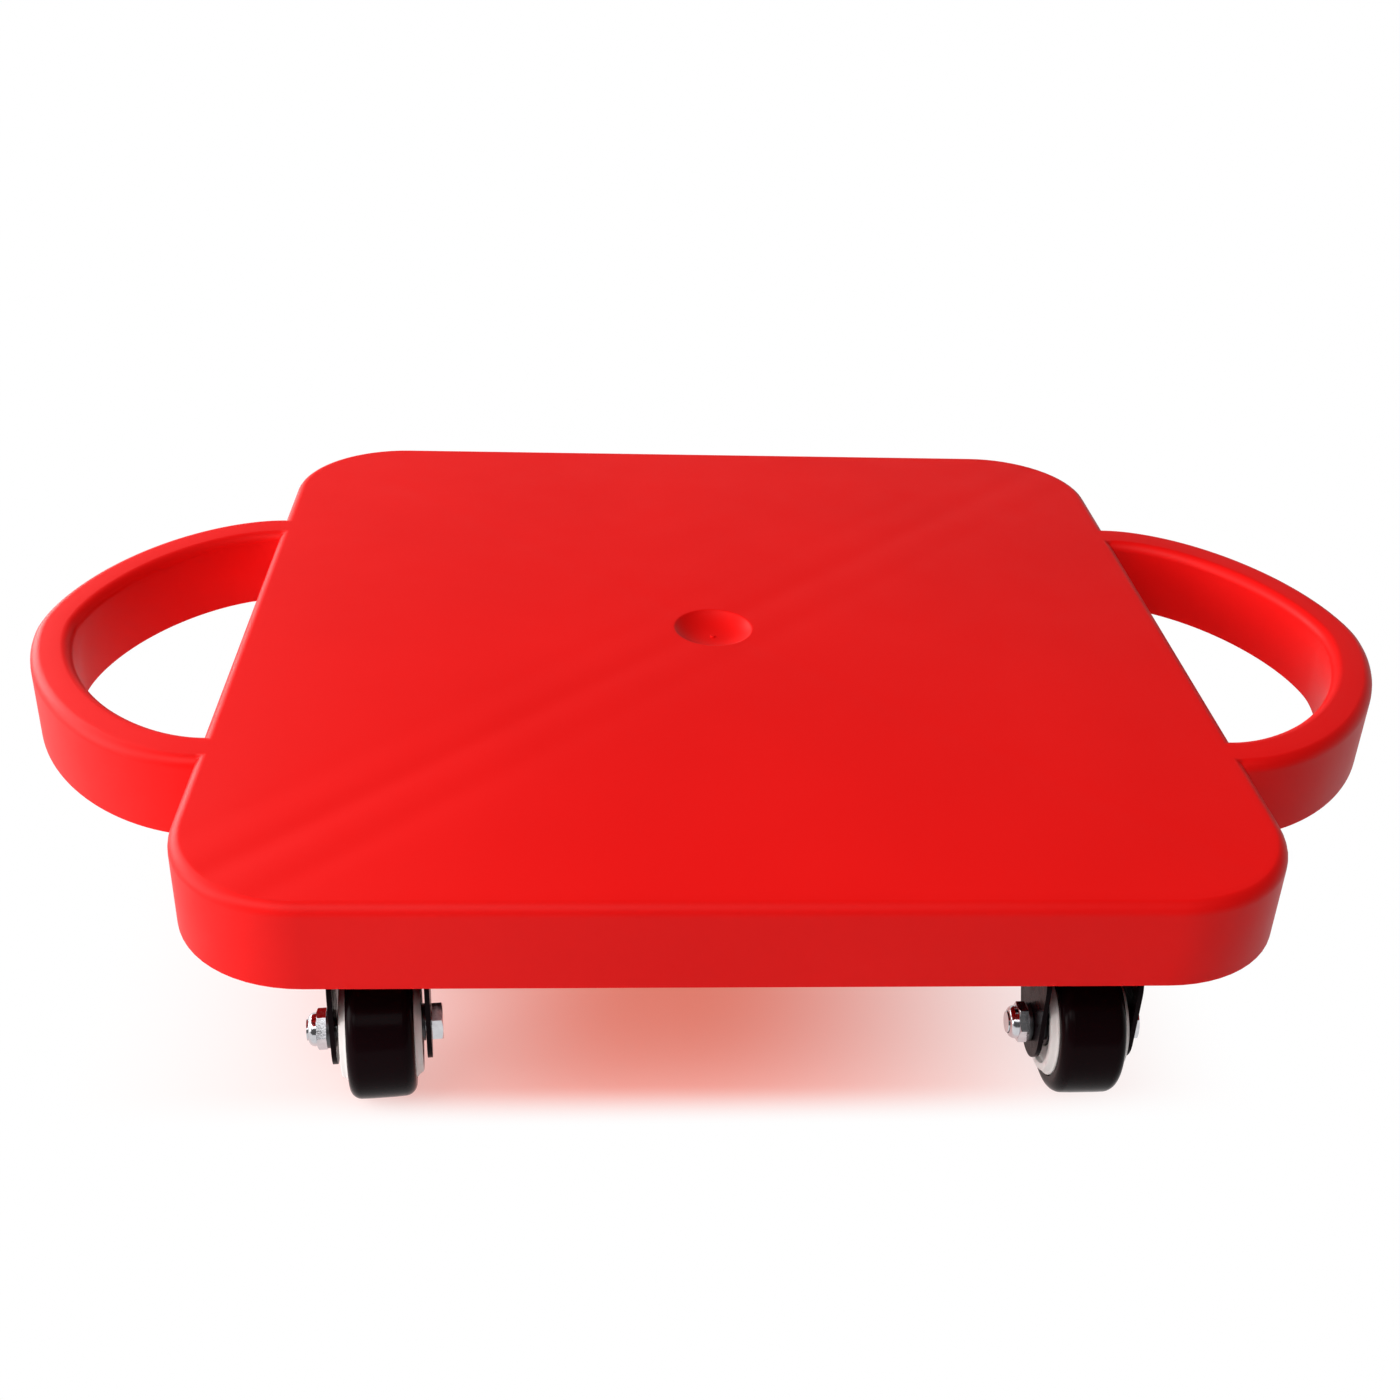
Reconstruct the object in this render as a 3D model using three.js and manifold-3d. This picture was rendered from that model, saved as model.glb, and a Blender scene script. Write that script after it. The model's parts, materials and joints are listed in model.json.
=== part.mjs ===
// A plastic scooter board: a square moulded deck with a hand loop on each side, ribbed below, and
// four swivel casters under its corners.
// Sizes are millimetres and +Z is up. The origin lies on the floor, under the middle of the deck.
// The front is the side towards -Y, and left and right are as seen from there.

import * as THREE from "three";
import { mergeVertices } from "three/addons/utils/BufferGeometryUtils.js";
import Module from "manifold-3d";

const wasm = await Module();
wasm.setup();

// Deck
const deckWidth = 305;
const deckLength = 305;
const deckDepth = 26;
const deckCornerRadius = 39;
const deckEdgeRadius = 3.5;
const deckTopWall = 3.6;
const deckSkirtWall = 3.4;
// How much a moulded wall leans for each millimetre of its height, so that the deck leaves its mould.
const draftShare = 0.0175;

// Dimple in the middle of the deck, with the stub of the moulding gate at its bottom
const dimpleRadius = 13.2;
const dimpleDepth = 3.6;
const dimpleLipRadius = 1.5;
const gateStubRadius = 1.1;
const gateStubHeight = 0.7;

// Ribs under the deck: a lattice along both diagonals, and a stouter spine on each diagonal itself
const ribPitch = 35;
const ribWall = 2.4;
const spineWall = 3.2;
const ribSetback = 4;

// Hand loops. An outline is a half oval, (x / reach) ^ n + (y / half length) ^ n = 1, and a share
// below gives its n: 2 is a half ellipse, and less is a little more pointed.
const loopReach = 66;
const loopHalfLength = 83.4;
const loopOvalShare = 1.77;
const gripReach = 53.4;
const gripHalfLength = 68.8;
const gripOvalShare = 1.73;
const loopWall = 2.8;
const loopTopWall = 3.2;
const loopWebWall = 2.2;
const loopPocketCount = 6;

// Casters: how far in from the deck's sides each one swivels, and how far its wheel trails behind
const swivelInsetX = 52.8;
const swivelInsetY = 44.5;
const trail = 19;
// How far each fork is turned from trailing straight to the front, in degrees.
const swivelDegrees = { front_left: 5.5, front_right: 0.5, rear_left: 4, rear_right: 3 };

// Mounting plate, and the pad of the deck that it is screwed to
const plateSize = 42;
const plateThickness = 2;
const plateCornerRadius = 5;
const screwSpacing = 32;
const padSize = 46;
const padCornerRadius = 6;
const padWall = 3.2;
const bossRadius = 4.6;

// Screw holes of plate and pad
const screwRadius = 2.1;
const screwHoleDepth = 14;

// Kingpin, with a head in the plate's cup and a race that holds the fork up from below
const kingpinRadius = 3.5;
const kingpinHeadRadius = 6;
const kingpinHeadHeight = 1.7;
const kingpinRaceRadius = 6.6;
const kingpinRaceHeight = 2.2;
const kingpinTailRadius = 4.6;
const kingpinTailHeight = 1.4;
const cupDepth = 2;
const cupWall = 1.4;

// Swivel balls in their cage, with the cage's sheet level with their middles
const ballRadius = 1.75;
const ballCircleRadius = 9.8;
const ballCount = 10;
const cageThickness = 0.8;
const cageWidth = 2.2;

// Fork, folded from sheet. Its crown has a raised lip round the balls.
const forkSheet = 1.4;
const forkGap = 24.6;
const forkBendRadius = 2.2;
const forkEndRadius = 10;
const forkCornerRadius = 11;
const forkCrownFront = 5.7;
const forkCrownRear = 14;
const forkShoulder = 5;
const wheelClearance = 6.5;
const lipRadius = 13;
const lipWall = 1;

// Wheel: a tyre on a core, whose rim stands out past the tyre on both sides
const wheelRadius = 20;
const tyreWidth = 18.4;
const tyreShoulderRadius = 3.2;
const coreRadius = 15;
const coreWidth = 22.4;
const coreRimWall = 3.4;
const coreRimTaper = 1.5;
const coreRecess = 1.6;

// Ball bearings of the wheel. The inner ring reaches out past the hub and meets the fork.
const bearingRadius = 6.5;
const bearingWidth = 5;
const bearingInnerRadius = 5.2;

// Axle bolt and lock nut
const boltRadius = 3;
const boltHeadFlats = 10;
const boltHeadHeight = 3;
const boltEndLength = 0.4;
const nutFlats = 10;
const nutHexHeight = 4.4;
const nutCollarHeight = 1.9;
const nutCollarRadius = 4.1;
const hexChamfer = 0.6;

// Gaps: between pieces that turn or are pressed together, and at pieces that only rest or pass
const runningGap = 0.3;
const fitGap = 0.2;
// How far a cut runs past the face that it opens, and a join into what it joins.
const overrun = 1;

// Facets
const cornerSteps = 8;
const edgeSteps = 3;
const shoulderSteps = 2;
const loopSteps = 20;
const pocketSteps = 2;
const tyreFacets = 24;
const coreFacets = 16;
const lipFacets = 12;
const smallFacets = 8;
const dimpleFacets = 18;

// Heights and places that follow from the sizes above, from the wheel up
const crownBottom = 2 * wheelRadius + wheelClearance;
const crownTop = crownBottom + forkSheet;
const ballHeight = crownTop + runningGap + ballRadius;
const plateBottom = ballHeight + ballRadius + runningGap;
const casterHeight = plateBottom + plateThickness;
const deckBottom = casterHeight;
const deckTop = deckBottom + deckDepth;
const cavityTop = deckTop - deckTopWall;
const cupRadius = kingpinHeadRadius + fitGap;
const swivelX = deckWidth / 2 - swivelInsetX;
const swivelY = deckLength / 2 - swivelInsetY;
const forkHalfWidth = forkGap / 2 + forkSheet;
const bearingOuterEnd = coreWidth / 2 - coreRecess + runningGap;

const materials = {
  deck: new THREE.MeshStandardMaterial({ color: 0xe3221f, roughness: 0.42, metalness: 0 }),
  blackSteel: new THREE.MeshStandardMaterial({ color: 0x121113, roughness: 0.35, metalness: 0.5 }),
  zincSteel: new THREE.MeshStandardMaterial({ color: 0xc9c9cc, roughness: 0.25, metalness: 1 }),
  tyre: new THREE.MeshStandardMaterial({ color: 0x0c0b0d, roughness: 0.22, metalness: 0 }),
  core: new THREE.MeshStandardMaterial({ color: 0xe9e4e0, roughness: 0.45, metalness: 0 }),
  bearingSteel: new THREE.MeshStandardMaterial({ color: 0x2a2a2d, roughness: 0.3, metalness: 0.8 }),
};

// Solids and their joins and cuts

function solidOf(geometry) {
  const bare = new THREE.BufferGeometry();
  bare.setAttribute("position", geometry.getAttribute("position"));
  bare.setIndex(geometry.index);
  const merged = mergeVertices(bare, 1e-4);
  return new wasm.Manifold(
    new wasm.Mesh({
      numProp: 3,
      vertProperties: new Float32Array(merged.getAttribute("position").array),
      triVerts: new Uint32Array(merged.index.array),
    }),
  );
}

function geometryOf(solid) {
  const mesh = solid.getMesh();
  const geometry = new THREE.BufferGeometry();
  geometry.setAttribute("position", new THREE.BufferAttribute(mesh.vertProperties, 3));
  geometry.setIndex(new THREE.BufferAttribute(mesh.triVerts, 1));
  geometry.computeVertexNormals();
  return geometry;
}

function joined(solids) {
  return solids.reduce((whole, piece) => whole.add(piece));
}

// A solid through rings of points. Each ring runs counter-clockwise, seen from the end that the rings
// lead to. The last ring joins the first one where closed, and else a fan covers each of the two.
function loft(rings, closed = false) {
  const count = rings[0].length;
  const total = rings.length * count;
  const faces = [];
  for (let level = 0; level < rings.length - (closed ? 0 : 1); level++) {
    for (let step = 0; step < count; step++) {
      const next = (step + 1) % count;
      const low = level * count;
      const high = (low + count) % total;
      faces.push(low + step, low + next, high + next);
      faces.push(low + step, high + next, high + step);
    }
  }
  for (let step = 1; step + 1 < count && !closed; step++) {
    const last = total - count;
    faces.push(0, step + 1, step);
    faces.push(last, last + step, last + step + 1);
  }
  const geometry = new THREE.BufferGeometry().setFromPoints(rings.flat());
  geometry.setIndex(faces);
  return solidOf(geometry);
}

// A flat shape, stood up between two heights.
function upright(shape, bottom, top, curveSegments) {
  const options = { depth: top - bottom, bevelEnabled: false, curveSegments };
  return solidOf(new THREE.ExtrudeGeometry(shape, options).translate(0, 0, bottom));
}

// A profile of [radius, height] points turned about Z.
function turned(profile, facets) {
  const points = profile.map(([radius, height]) => new THREE.Vector2(radius, height));
  return solidOf(new THREE.LatheGeometry(points, facets).rotateX(Math.PI / 2));
}

// A profile of [radius, x] points turned about X, with a flat and not a corner at its lowest.
function turnedOnAxle(profile, facets) {
  const points = profile.map(([radius, x]) => new THREE.Vector2(radius, x));
  const lathe = new THREE.LatheGeometry(points, facets, Math.PI / facets);
  return solidOf(lathe.rotateZ(-Math.PI / 2));
}

// A round bar from one height to another, on a vertical axis through x, y.
function post(radius, bottom, top, facets, x = 0, y = 0) {
  const bar = new THREE.CylinderGeometry(radius, radius, top - bottom, facets);
  return solidOf(bar.rotateX(Math.PI / 2).translate(x, y, (bottom + top) / 2));
}

// A round bar along the axle, from one x to another.
function axleBar(radius, from, to) {
  return turnedOnAxle([[0, from], [radius, from], [radius, to], [0, to]], smallFacets);
}

function roundedSquare(size, radius) {
  const half = size / 2;
  const middle = half - radius;
  const shape = new THREE.Shape();
  shape.absarc(middle, middle, radius, 0, Math.PI / 2);
  shape.absarc(-middle, middle, radius, Math.PI / 2, Math.PI);
  shape.absarc(-middle, -middle, radius, Math.PI, (3 * Math.PI) / 2);
  shape.absarc(middle, -middle, radius, (3 * Math.PI) / 2, 2 * Math.PI);
  return shape;
}

// Deck: its outer form

// The plan outline of the deck, drawn in by inset, as a ring of points at one height.
function deckRing(inset, height) {
  const radius = deckCornerRadius - inset;
  const middleX = deckWidth / 2 - deckCornerRadius;
  const middleY = deckLength / 2 - deckCornerRadius;
  const corners = [[1, 1], [-1, 1], [-1, -1], [1, -1]];
  return corners.flatMap(([signX, signY], corner) =>
    Array.from({ length: cornerSteps + 1 }, (_, step) => {
      const angle = ((corner + step / cornerSteps) * Math.PI) / 2;
      const x = signX * middleX + radius * Math.cos(angle);
      const y = signY * middleY + radius * Math.sin(angle);
      return new THREE.Vector3(x, y, height);
    }),
  );
}

// The top edge of deck and loops is one fillet. Each entry is [inset, height].
function edgeFillet() {
  return Array.from({ length: edgeSteps + 1 }, (_, step) => {
    const angle = ((step / edgeSteps) * Math.PI) / 2;
    const inset = deckEdgeRadius * (1 - Math.cos(angle));
    return [inset, deckTop - deckEdgeRadius * (1 - Math.sin(angle))];
  });
}

function deckBlock() {
  const rings = edgeFillet().map(([inset, height]) => deckRing(inset, height));
  return loft([deckRing(0, deckBottom), ...rings]);
}

function deckCavity() {
  const lean = draftShare * (cavityTop - deckBottom);
  return loft([
    deckRing(deckSkirtWall - draftShare * overrun, deckBottom - overrun),
    deckRing(deckSkirtWall + lean, cavityTop),
  ]);
}

// Hand loops, first the right one

// A point of a half-oval outline, at an angle from the front root to the rear one.
function ovalPoint(angle, reach, halfLength, share) {
  const across = Math.abs(Math.cos(angle)) ** (2 / share);
  const along = Math.sign(angle) * Math.abs(Math.sin(angle)) ** (2 / share);
  return new THREE.Vector2(deckWidth / 2 + reach * across, halfLength * along);
}

// The loop's upright section at an angle: wall is how far it keeps inside the loop's two faces, and
// edges lists the [inset, height] steps of its upper corners.
function loopSection(angle, wall, bottom, edges, shift = 0) {
  const outer = ovalPoint(angle, loopReach, loopHalfLength, loopOvalShare);
  const inner = ovalPoint(angle, gripReach, gripHalfLength, gripOvalShare);
  const across = outer.clone().sub(inner).normalize();
  const place = (from, inset, height) => {
    const point = from.clone().addScaledVector(across, inset);
    return new THREE.Vector3(point.x + shift, point.y, height);
  };
  const rising = edges.map(([inset, height]) => place(inner, wall + inset, height));
  const falling = edges.map(([inset, height]) => place(outer, -wall - inset, height)).reverse();
  return [place(inner, wall, bottom), ...rising, ...falling, place(outer, -wall, bottom)];
}

function loopBand() {
  const edges = edgeFillet();
  const root = deckEdgeRadius + deckSkirtWall;
  const sections = Array.from({ length: loopSteps + 1 }, (_, step) =>
    loopSection((step / loopSteps - 1 / 2) * Math.PI, 0, deckBottom, edges),
  );
  return loft([
    loopSection(-Math.PI / 2, 0, deckBottom, edges, -root),
    ...sections,
    loopSection(Math.PI / 2, 0, deckBottom, edges, -root),
  ]);
}

// The loop is a channel, open below, and webs part its pockets.
function loopPockets() {
  const pocketAngle = Math.PI / loopPocketCount;
  const ovalLength = Math.PI * Math.hypot(loopReach, loopHalfLength) * Math.SQRT1_2;
  const webAngle = (Math.PI * loopWebWall) / ovalLength;
  const edges = [[draftShare * deckDepth, deckTop - loopTopWall]];
  return joined(
    Array.from({ length: loopPocketCount }, (_, pocket) => {
      const start = pocket * pocketAngle - Math.PI / 2 + webAngle / 2;
      const sweep = pocketAngle - webAngle;
      return loft(
        Array.from({ length: pocketSteps + 1 }, (__, step) => {
          const angle = start + (sweep * step) / pocketSteps;
          return loopSection(angle, loopWall, deckBottom - overrun, edges);
        }),
      );
    }),
  );
}

// A solid made for the right side, turned round for the left side and joined to it.
function bothSides(make) {
  const right = make();
  return right.add(solidOf(geometryOf(right).rotateZ(Math.PI)));
}

// Deck: what is under it

// A rib under the whole deck, at an offset from the diagonal that turn gives. It is thinner at its
// tip than at its root.
function rib(wall, offset, turn) {
  const root = cavityTop + overrun;
  const tip = deckBottom + ribSetback;
  const halfTip = wall / 2 - (draftShare * (cavityTop - tip)) / 2;
  const section = new THREE.Shape([
    new THREE.Vector2(-halfTip, tip),
    new THREE.Vector2(halfTip, tip),
    new THREE.Vector2(wall / 2, root),
    new THREE.Vector2(-wall / 2, root),
  ]);
  const length = Math.hypot(deckWidth, deckLength);
  const bar = new THREE.ExtrudeGeometry(section, { depth: length, bevelEnabled: false });
  bar.rotateX(Math.PI / 2).translate(offset, length / 2, 0).rotateZ(turn);
  return solidOf(bar);
}

function ribs() {
  const reach = (swivelX + swivelY) * Math.SQRT1_2;
  const made = [];
  for (const turn of [Math.PI / 4, -Math.PI / 4]) {
    made.push(rib(spineWall, 0, turn));
    for (let offset = ribPitch / 2; offset < reach; offset += ribPitch) {
      made.push(rib(ribWall, offset, turn), rib(ribWall, -offset, turn));
    }
  }
  return joined(made);
}

// The places of the four casters, or of a plate's four screws, round a middle.
function fourPlaces(halfX, halfY, middleX = 0, middleY = 0) {
  return [[-1, -1], [1, -1], [-1, 1], [1, 1]].map(([signX, signY]) => [
    middleX + signX * halfX,
    middleY + signY * halfY,
  ]);
}

// The pad of one caster: a frame, a boss for each screw, and a cross that backs the plate.
function pad(x, y) {
  const top = cavityTop + overrun;
  const frame = upright(roundedSquare(padSize, padCornerRadius), deckBottom, top, 2);
  const inside = roundedSquare(padSize - 2 * padWall, padCornerRadius - padWall);
  const bosses = fourPlaces(screwSpacing / 2, screwSpacing / 2).map(([bossX, bossY]) =>
    post(bossRadius, deckBottom, top, smallFacets, bossX, bossY),
  );
  const arm = new THREE.BoxGeometry(padSize - padWall, ribWall, top - deckBottom);
  arm.translate(0, 0, (deckBottom + top) / 2);
  const cross = solidOf(arm).add(solidOf(arm.clone().rotateZ(Math.PI / 2)));
  const pocket = upright(inside, deckBottom - overrun, top + overrun, 2);
  const made = joined([frame.subtract(pocket), cross, ...bosses]);
  return solidOf(geometryOf(made).translate(x, y, 0));
}

function screwHoles() {
  const top = deckBottom + screwHoleDepth;
  return joined(
    fourPlaces(swivelX, swivelY).flatMap(([x, y]) =>
      fourPlaces(screwSpacing / 2, screwSpacing / 2, x, y).map(([holeX, holeY]) =>
        post(screwRadius - fitGap, deckBottom - overrun, top, smallFacets, holeX, holeY),
      ),
    ),
  );
}

// The dimple is a ball-shaped bowl with a rounded lip: the lip's arc touches the bowl's and the top.
function dimple() {
  const square = dimpleRadius ** 2 + dimpleDepth ** 2;
  const bowlRadius = square / (2 * dimpleDepth) - dimpleLipRadius;
  const bowlHeight = deckTop - dimpleDepth + bowlRadius;
  const meeting = Math.asin(dimpleRadius / (bowlRadius + dimpleLipRadius));
  const profile = [];
  for (let step = 0; step <= edgeSteps; step++) {
    const angle = (meeting * step) / edgeSteps;
    profile.push([bowlRadius * Math.sin(angle), bowlHeight - bowlRadius * Math.cos(angle)]);
  }
  for (let step = 1; step <= edgeSteps; step++) {
    const angle = meeting * (1 - step / edgeSteps);
    const drop = dimpleLipRadius * (1 - Math.cos(angle));
    profile.push([dimpleRadius - dimpleLipRadius * Math.sin(angle), deckTop - drop]);
  }
  profile.push([dimpleRadius, deckTop + overrun], [0, deckTop + overrun]);
  return turned(profile, dimpleFacets);
}

function deck() {
  const shell = deckBlock().add(bothSides(loopBand)).subtract(deckCavity());
  const pads = fourPlaces(swivelX, swivelY).map(([x, y]) => pad(x, y));
  const padSpace = fourPlaces(swivelX, swivelY).map(([x, y]) => {
    const space = roundedSquare(padSize - padWall, padCornerRadius - padWall / 2);
    return solidOf(geometryOf(upright(space, deckBottom, deckTop, 2)).translate(x, y, 0));
  });
  const seatBottom = deckTop - dimpleDepth - deckTopWall;
  const seat = post(dimpleRadius + ribWall, seatBottom, cavityTop + overrun, dimpleFacets);
  const middle = loft([
    deckRing(deckSkirtWall / 2, deckBottom),
    deckRing(deckSkirtWall / 2, cavityTop + deckTopWall / 2),
  ]);
  const below = joined([ribs().subtract(joined(padSpace)), seat, ...pads]).intersect(middle);
  const stub = post(
    gateStubRadius,
    deckTop - dimpleDepth - overrun,
    deckTop - dimpleDepth + gateStubHeight,
    smallFacets,
  );
  return shell
    .subtract(bothSides(loopPockets))
    .add(below)
    .subtract(screwHoles())
    .subtract(dimple())
    .add(stub);
}

// Caster pieces, each about its own swivel axis, and those on the axle about the wheel's middle

// A stamped plate with a hole for each screw and a cup in its middle for the kingpin's head.
function mountingPlate() {
  const sheet = upright(roundedSquare(plateSize, plateCornerRadius), plateBottom, casterHeight, 2);
  const cupBottom = casterHeight - cupDepth - cupWall;
  const holes = fourPlaces(screwSpacing / 2, screwSpacing / 2).map(([x, y]) =>
    post(screwRadius + fitGap, plateBottom - overrun, casterHeight + overrun, smallFacets, x, y),
  );
  const cup = post(cupRadius + cupWall, cupBottom, casterHeight, smallFacets);
  const recess = post(cupRadius, casterHeight - cupDepth, casterHeight + overrun, smallFacets);
  const bore = post(kingpinRadius + fitGap, cupBottom - overrun, casterHeight, smallFacets);
  return joined([sheet, cup]).subtract(joined([recess, bore, ...holes]));
}

// The rivet that the fork turns on. Its race, below the crown, holds the fork up when it is lifted.
function kingpin() {
  const headBottom = casterHeight - cupDepth;
  const raceTop = crownBottom - runningGap;
  const raceBottom = raceTop - kingpinRaceHeight;
  return turned(
    [
      [0, raceBottom - kingpinTailHeight],
      [kingpinTailRadius, raceBottom - kingpinTailHeight],
      [kingpinRaceRadius, raceBottom],
      [kingpinRaceRadius, raceTop],
      [kingpinRadius, raceTop],
      [kingpinRadius, headBottom],
      [kingpinHeadRadius, headBottom],
      [kingpinHeadRadius, headBottom + kingpinHeadHeight],
      [0, headBottom + kingpinHeadHeight],
    ],
    smallFacets,
  );
}

// Balls in a ring-shaped cage: a section, swept round the kingpin, is a ball's or the cage's in turn.
function ballRing() {
  const section = (angle, halfWidth, halfHeight) =>
    Array.from({ length: 6 }, (_, corner) => {
      const turn = (corner * Math.PI) / 3;
      const radius = ballCircleRadius + halfWidth * Math.cos(turn);
      const height = ballHeight + halfHeight * Math.sin(turn);
      return new THREE.Vector3(radius * Math.cos(angle), radius * Math.sin(angle), height);
    });
  const rings = Array.from({ length: 2 * ballCount }, (_, index) => {
    const angle = (-index * Math.PI) / ballCount;
    return index % 2
      ? section(angle, cageWidth / 2, cageThickness / 2)
      : section(angle, ballRadius, ballRadius / Math.cos(Math.PI / 6));
  });
  return loft(rings, true);
}

// Where the tangent from a point touches a circle, as an angle of the circle.
function tangentAngle(pointX, pointY, centreX, centreY, radius, side) {
  const towards = Math.atan2(pointY - centreY, pointX - centreX);
  const distance = Math.hypot(pointX - centreX, pointY - centreY);
  return towards + side * Math.acos(radius / distance);
}

// The fork is sheet folded to an upturned U, with a round crown and with legs that sweep to the
// axle. It is where three outlines meet: the U from the front, the legs from the side and the crown
// from above.
function fork() {
  const outerBend = forkBendRadius + forkSheet;
  const legBottom = wheelRadius - forkEndRadius - overrun;
  const end = trail + forkEndRadius;
  const rear = end + overrun;
  const front = forkHalfWidth + overrun;

  const fold = new THREE.Shape();
  fold.moveTo(-forkHalfWidth, legBottom);
  fold.lineTo(-forkGap / 2, legBottom);
  const innerX = forkGap / 2 - forkBendRadius;
  fold.absarc(-innerX, crownBottom - forkBendRadius, forkBendRadius, Math.PI, Math.PI / 2, true);
  fold.absarc(innerX, crownBottom - forkBendRadius, forkBendRadius, Math.PI / 2, 0, true);
  fold.lineTo(forkGap / 2, legBottom);
  fold.lineTo(forkHalfWidth, legBottom);
  fold.absarc(innerX, crownTop - outerBend, outerBend, 0, Math.PI / 2);
  fold.absarc(-innerX, crownTop - outerBend, outerBend, Math.PI / 2, Math.PI);
  const foldOptions = { depth: rear + front, bevelEnabled: false, curveSegments: 2 };
  const folded = new THREE.ExtrudeGeometry(fold, foldOptions);
  folded.rotateX(Math.PI / 2).translate(0, front, 0);

  // From the side, with how far a point trails as its x and its height as its y.
  const shoulder = crownTop - forkShoulder;
  const axle = [trail, wheelRadius, forkEndRadius];
  const leading = tangentAngle(-forkCrownFront, shoulder, ...axle, 1);
  const corner = [end - forkCornerRadius, crownTop - forkCornerRadius, forkCornerRadius];
  const side = new THREE.Shape();
  side.moveTo(-front, crownTop + overrun);
  side.lineTo(-front, shoulder);
  side.lineTo(-forkCrownFront, shoulder);
  side.absarc(...axle, leading, 2 * Math.PI);
  side.absarc(...corner, 0, Math.PI / 2);
  side.lineTo(end - forkCornerRadius, crownTop + overrun);
  const sideOptions = { depth: 2 * front, bevelEnabled: false, curveSegments: 6 };
  const legs = new THREE.ExtrudeGeometry(side, sideOptions);
  legs.translate(0, 0, -front).rotateX(Math.PI / 2).rotateZ(-Math.PI / 2);

  const plan = new THREE.Shape();
  plan.absarc(0, 0, forkHalfWidth + fitGap, 0, Math.PI);
  plan.lineTo(-forkHalfWidth - fitGap, -rear);
  plan.lineTo(-forkGap / 2, -rear);
  plan.lineTo(-forkGap / 2, -forkCrownRear);
  plan.lineTo(forkGap / 2, -forkCrownRear);
  plan.lineTo(forkGap / 2, -rear);
  plan.lineTo(forkHalfWidth + fitGap, -rear);
  const crown = upright(plan, legBottom - overrun, crownTop + overrun, 8);

  const lipTop = plateBottom - 2 * runningGap;
  const lip = turned(
    [
      [lipRadius - lipWall, crownBottom],
      [lipRadius, crownBottom],
      [lipRadius, lipTop],
      [lipRadius - lipWall, lipTop],
      [lipRadius - lipWall, crownBottom],
    ],
    lipFacets,
  );
  const bore = post(kingpinRadius + runningGap, legBottom, crownTop + overrun, smallFacets);
  const axleHole = axleBar(boltRadius + fitGap, -front, front);
  const hole = solidOf(geometryOf(axleHole).translate(0, -trail, wheelRadius));
  return solidOf(folded)
    .intersect(solidOf(legs))
    .intersect(crown)
    .add(lip)
    .subtract(bore.add(hole));
}

// Wheel core: solid, with a seat for a bearing at each end and a raised rim.
function wheelCore() {
  const rimEnd = coreWidth / 2;
  const rimInner = coreRadius - coreRimWall;
  const face = rimEnd - coreRecess;
  const seat = bearingRadius + runningGap;
  const seatEnd = bearingOuterEnd - bearingWidth - runningGap;
  const bore = bearingInnerRadius - runningGap;
  const half = [
    [rimInner, rimEnd],
    [rimInner, face],
    [seat, face],
    [seat, seatEnd],
    [bore, seatEnd],
  ];
  const mirrored = half.map(([radius, x]) => [radius, -x]).reverse();
  const cone = [[coreRadius, tyreWidth / 2], [coreRadius - coreRimTaper, rimEnd]];
  const coneMirrored = cone.map(([radius, place]) => [radius, -place]).reverse();
  const profile = [...coneMirrored, ...cone, ...half, ...mirrored];
  return turnedOnAxle([...profile, profile[0]], coreFacets);
}

// Tyre: a flat tread with round shoulders. Its facets lie outside the circle, so that a flat of the
// tread touches the floor.
function tyre() {
  const outside = 1 / Math.cos(Math.PI / tyreFacets);
  const seat = coreRadius + runningGap;
  const middle = wheelRadius - tyreShoulderRadius;
  const shoulder = tyreWidth / 2 - tyreShoulderRadius;
  const half = [];
  for (let step = 0; step <= shoulderSteps; step++) {
    const angle = ((step / shoulderSteps) * Math.PI) / 2;
    const radius = middle + tyreShoulderRadius * Math.cos(angle);
    half.push([radius * outside, shoulder + tyreShoulderRadius * Math.sin(angle)]);
  }
  half.push([seat * outside, tyreWidth / 2]);
  const mirrored = half.map(([radius, x]) => [radius, -x]).reverse();
  return turnedOnAxle([...mirrored, ...half, mirrored[0]], tyreFacets);
}

// Bearing for the side that sign gives: -1 is the nut's side and 1 the bolt head's.
function bearing(sign) {
  const start = bearingOuterEnd - bearingWidth;
  const bore = boltRadius + runningGap;
  const profile = [
    [bore, start],
    [bearingRadius, start],
    [bearingRadius, bearingOuterEnd],
    [bearingInnerRadius, bearingOuterEnd],
    [bearingInnerRadius, forkGap / 2 - runningGap],
    [bore, forkGap / 2 - runningGap],
    [bore, start],
  ];
  const placed = sign > 0 ? profile : profile.map(([radius, x]) => [radius, -x]).reverse();
  return turnedOnAxle(placed, smallFacets);
}

function hexRadius(flats) {
  return flats / 2 / Math.cos(Math.PI / 6);
}

function axleBolt() {
  const seat = forkHalfWidth + fitGap;
  const end = seat + boltHeadHeight;
  const corner = hexRadius(boltHeadFlats);
  const tip = -(seat + nutHexHeight + nutCollarHeight + boltEndLength);
  const head = [
    [0, seat],
    [corner, seat],
    [corner, end - hexChamfer],
    [corner - 2 * hexChamfer, end],
    [0, end],
  ];
  const shank = [
    [0, tip],
    [boltRadius - hexChamfer, tip],
    [boltRadius, tip + hexChamfer],
    [boltRadius, seat + overrun],
    [0, seat + overrun],
  ];
  return turnedOnAxle(head, 6).add(turnedOnAxle(shank, smallFacets));
}

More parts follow.
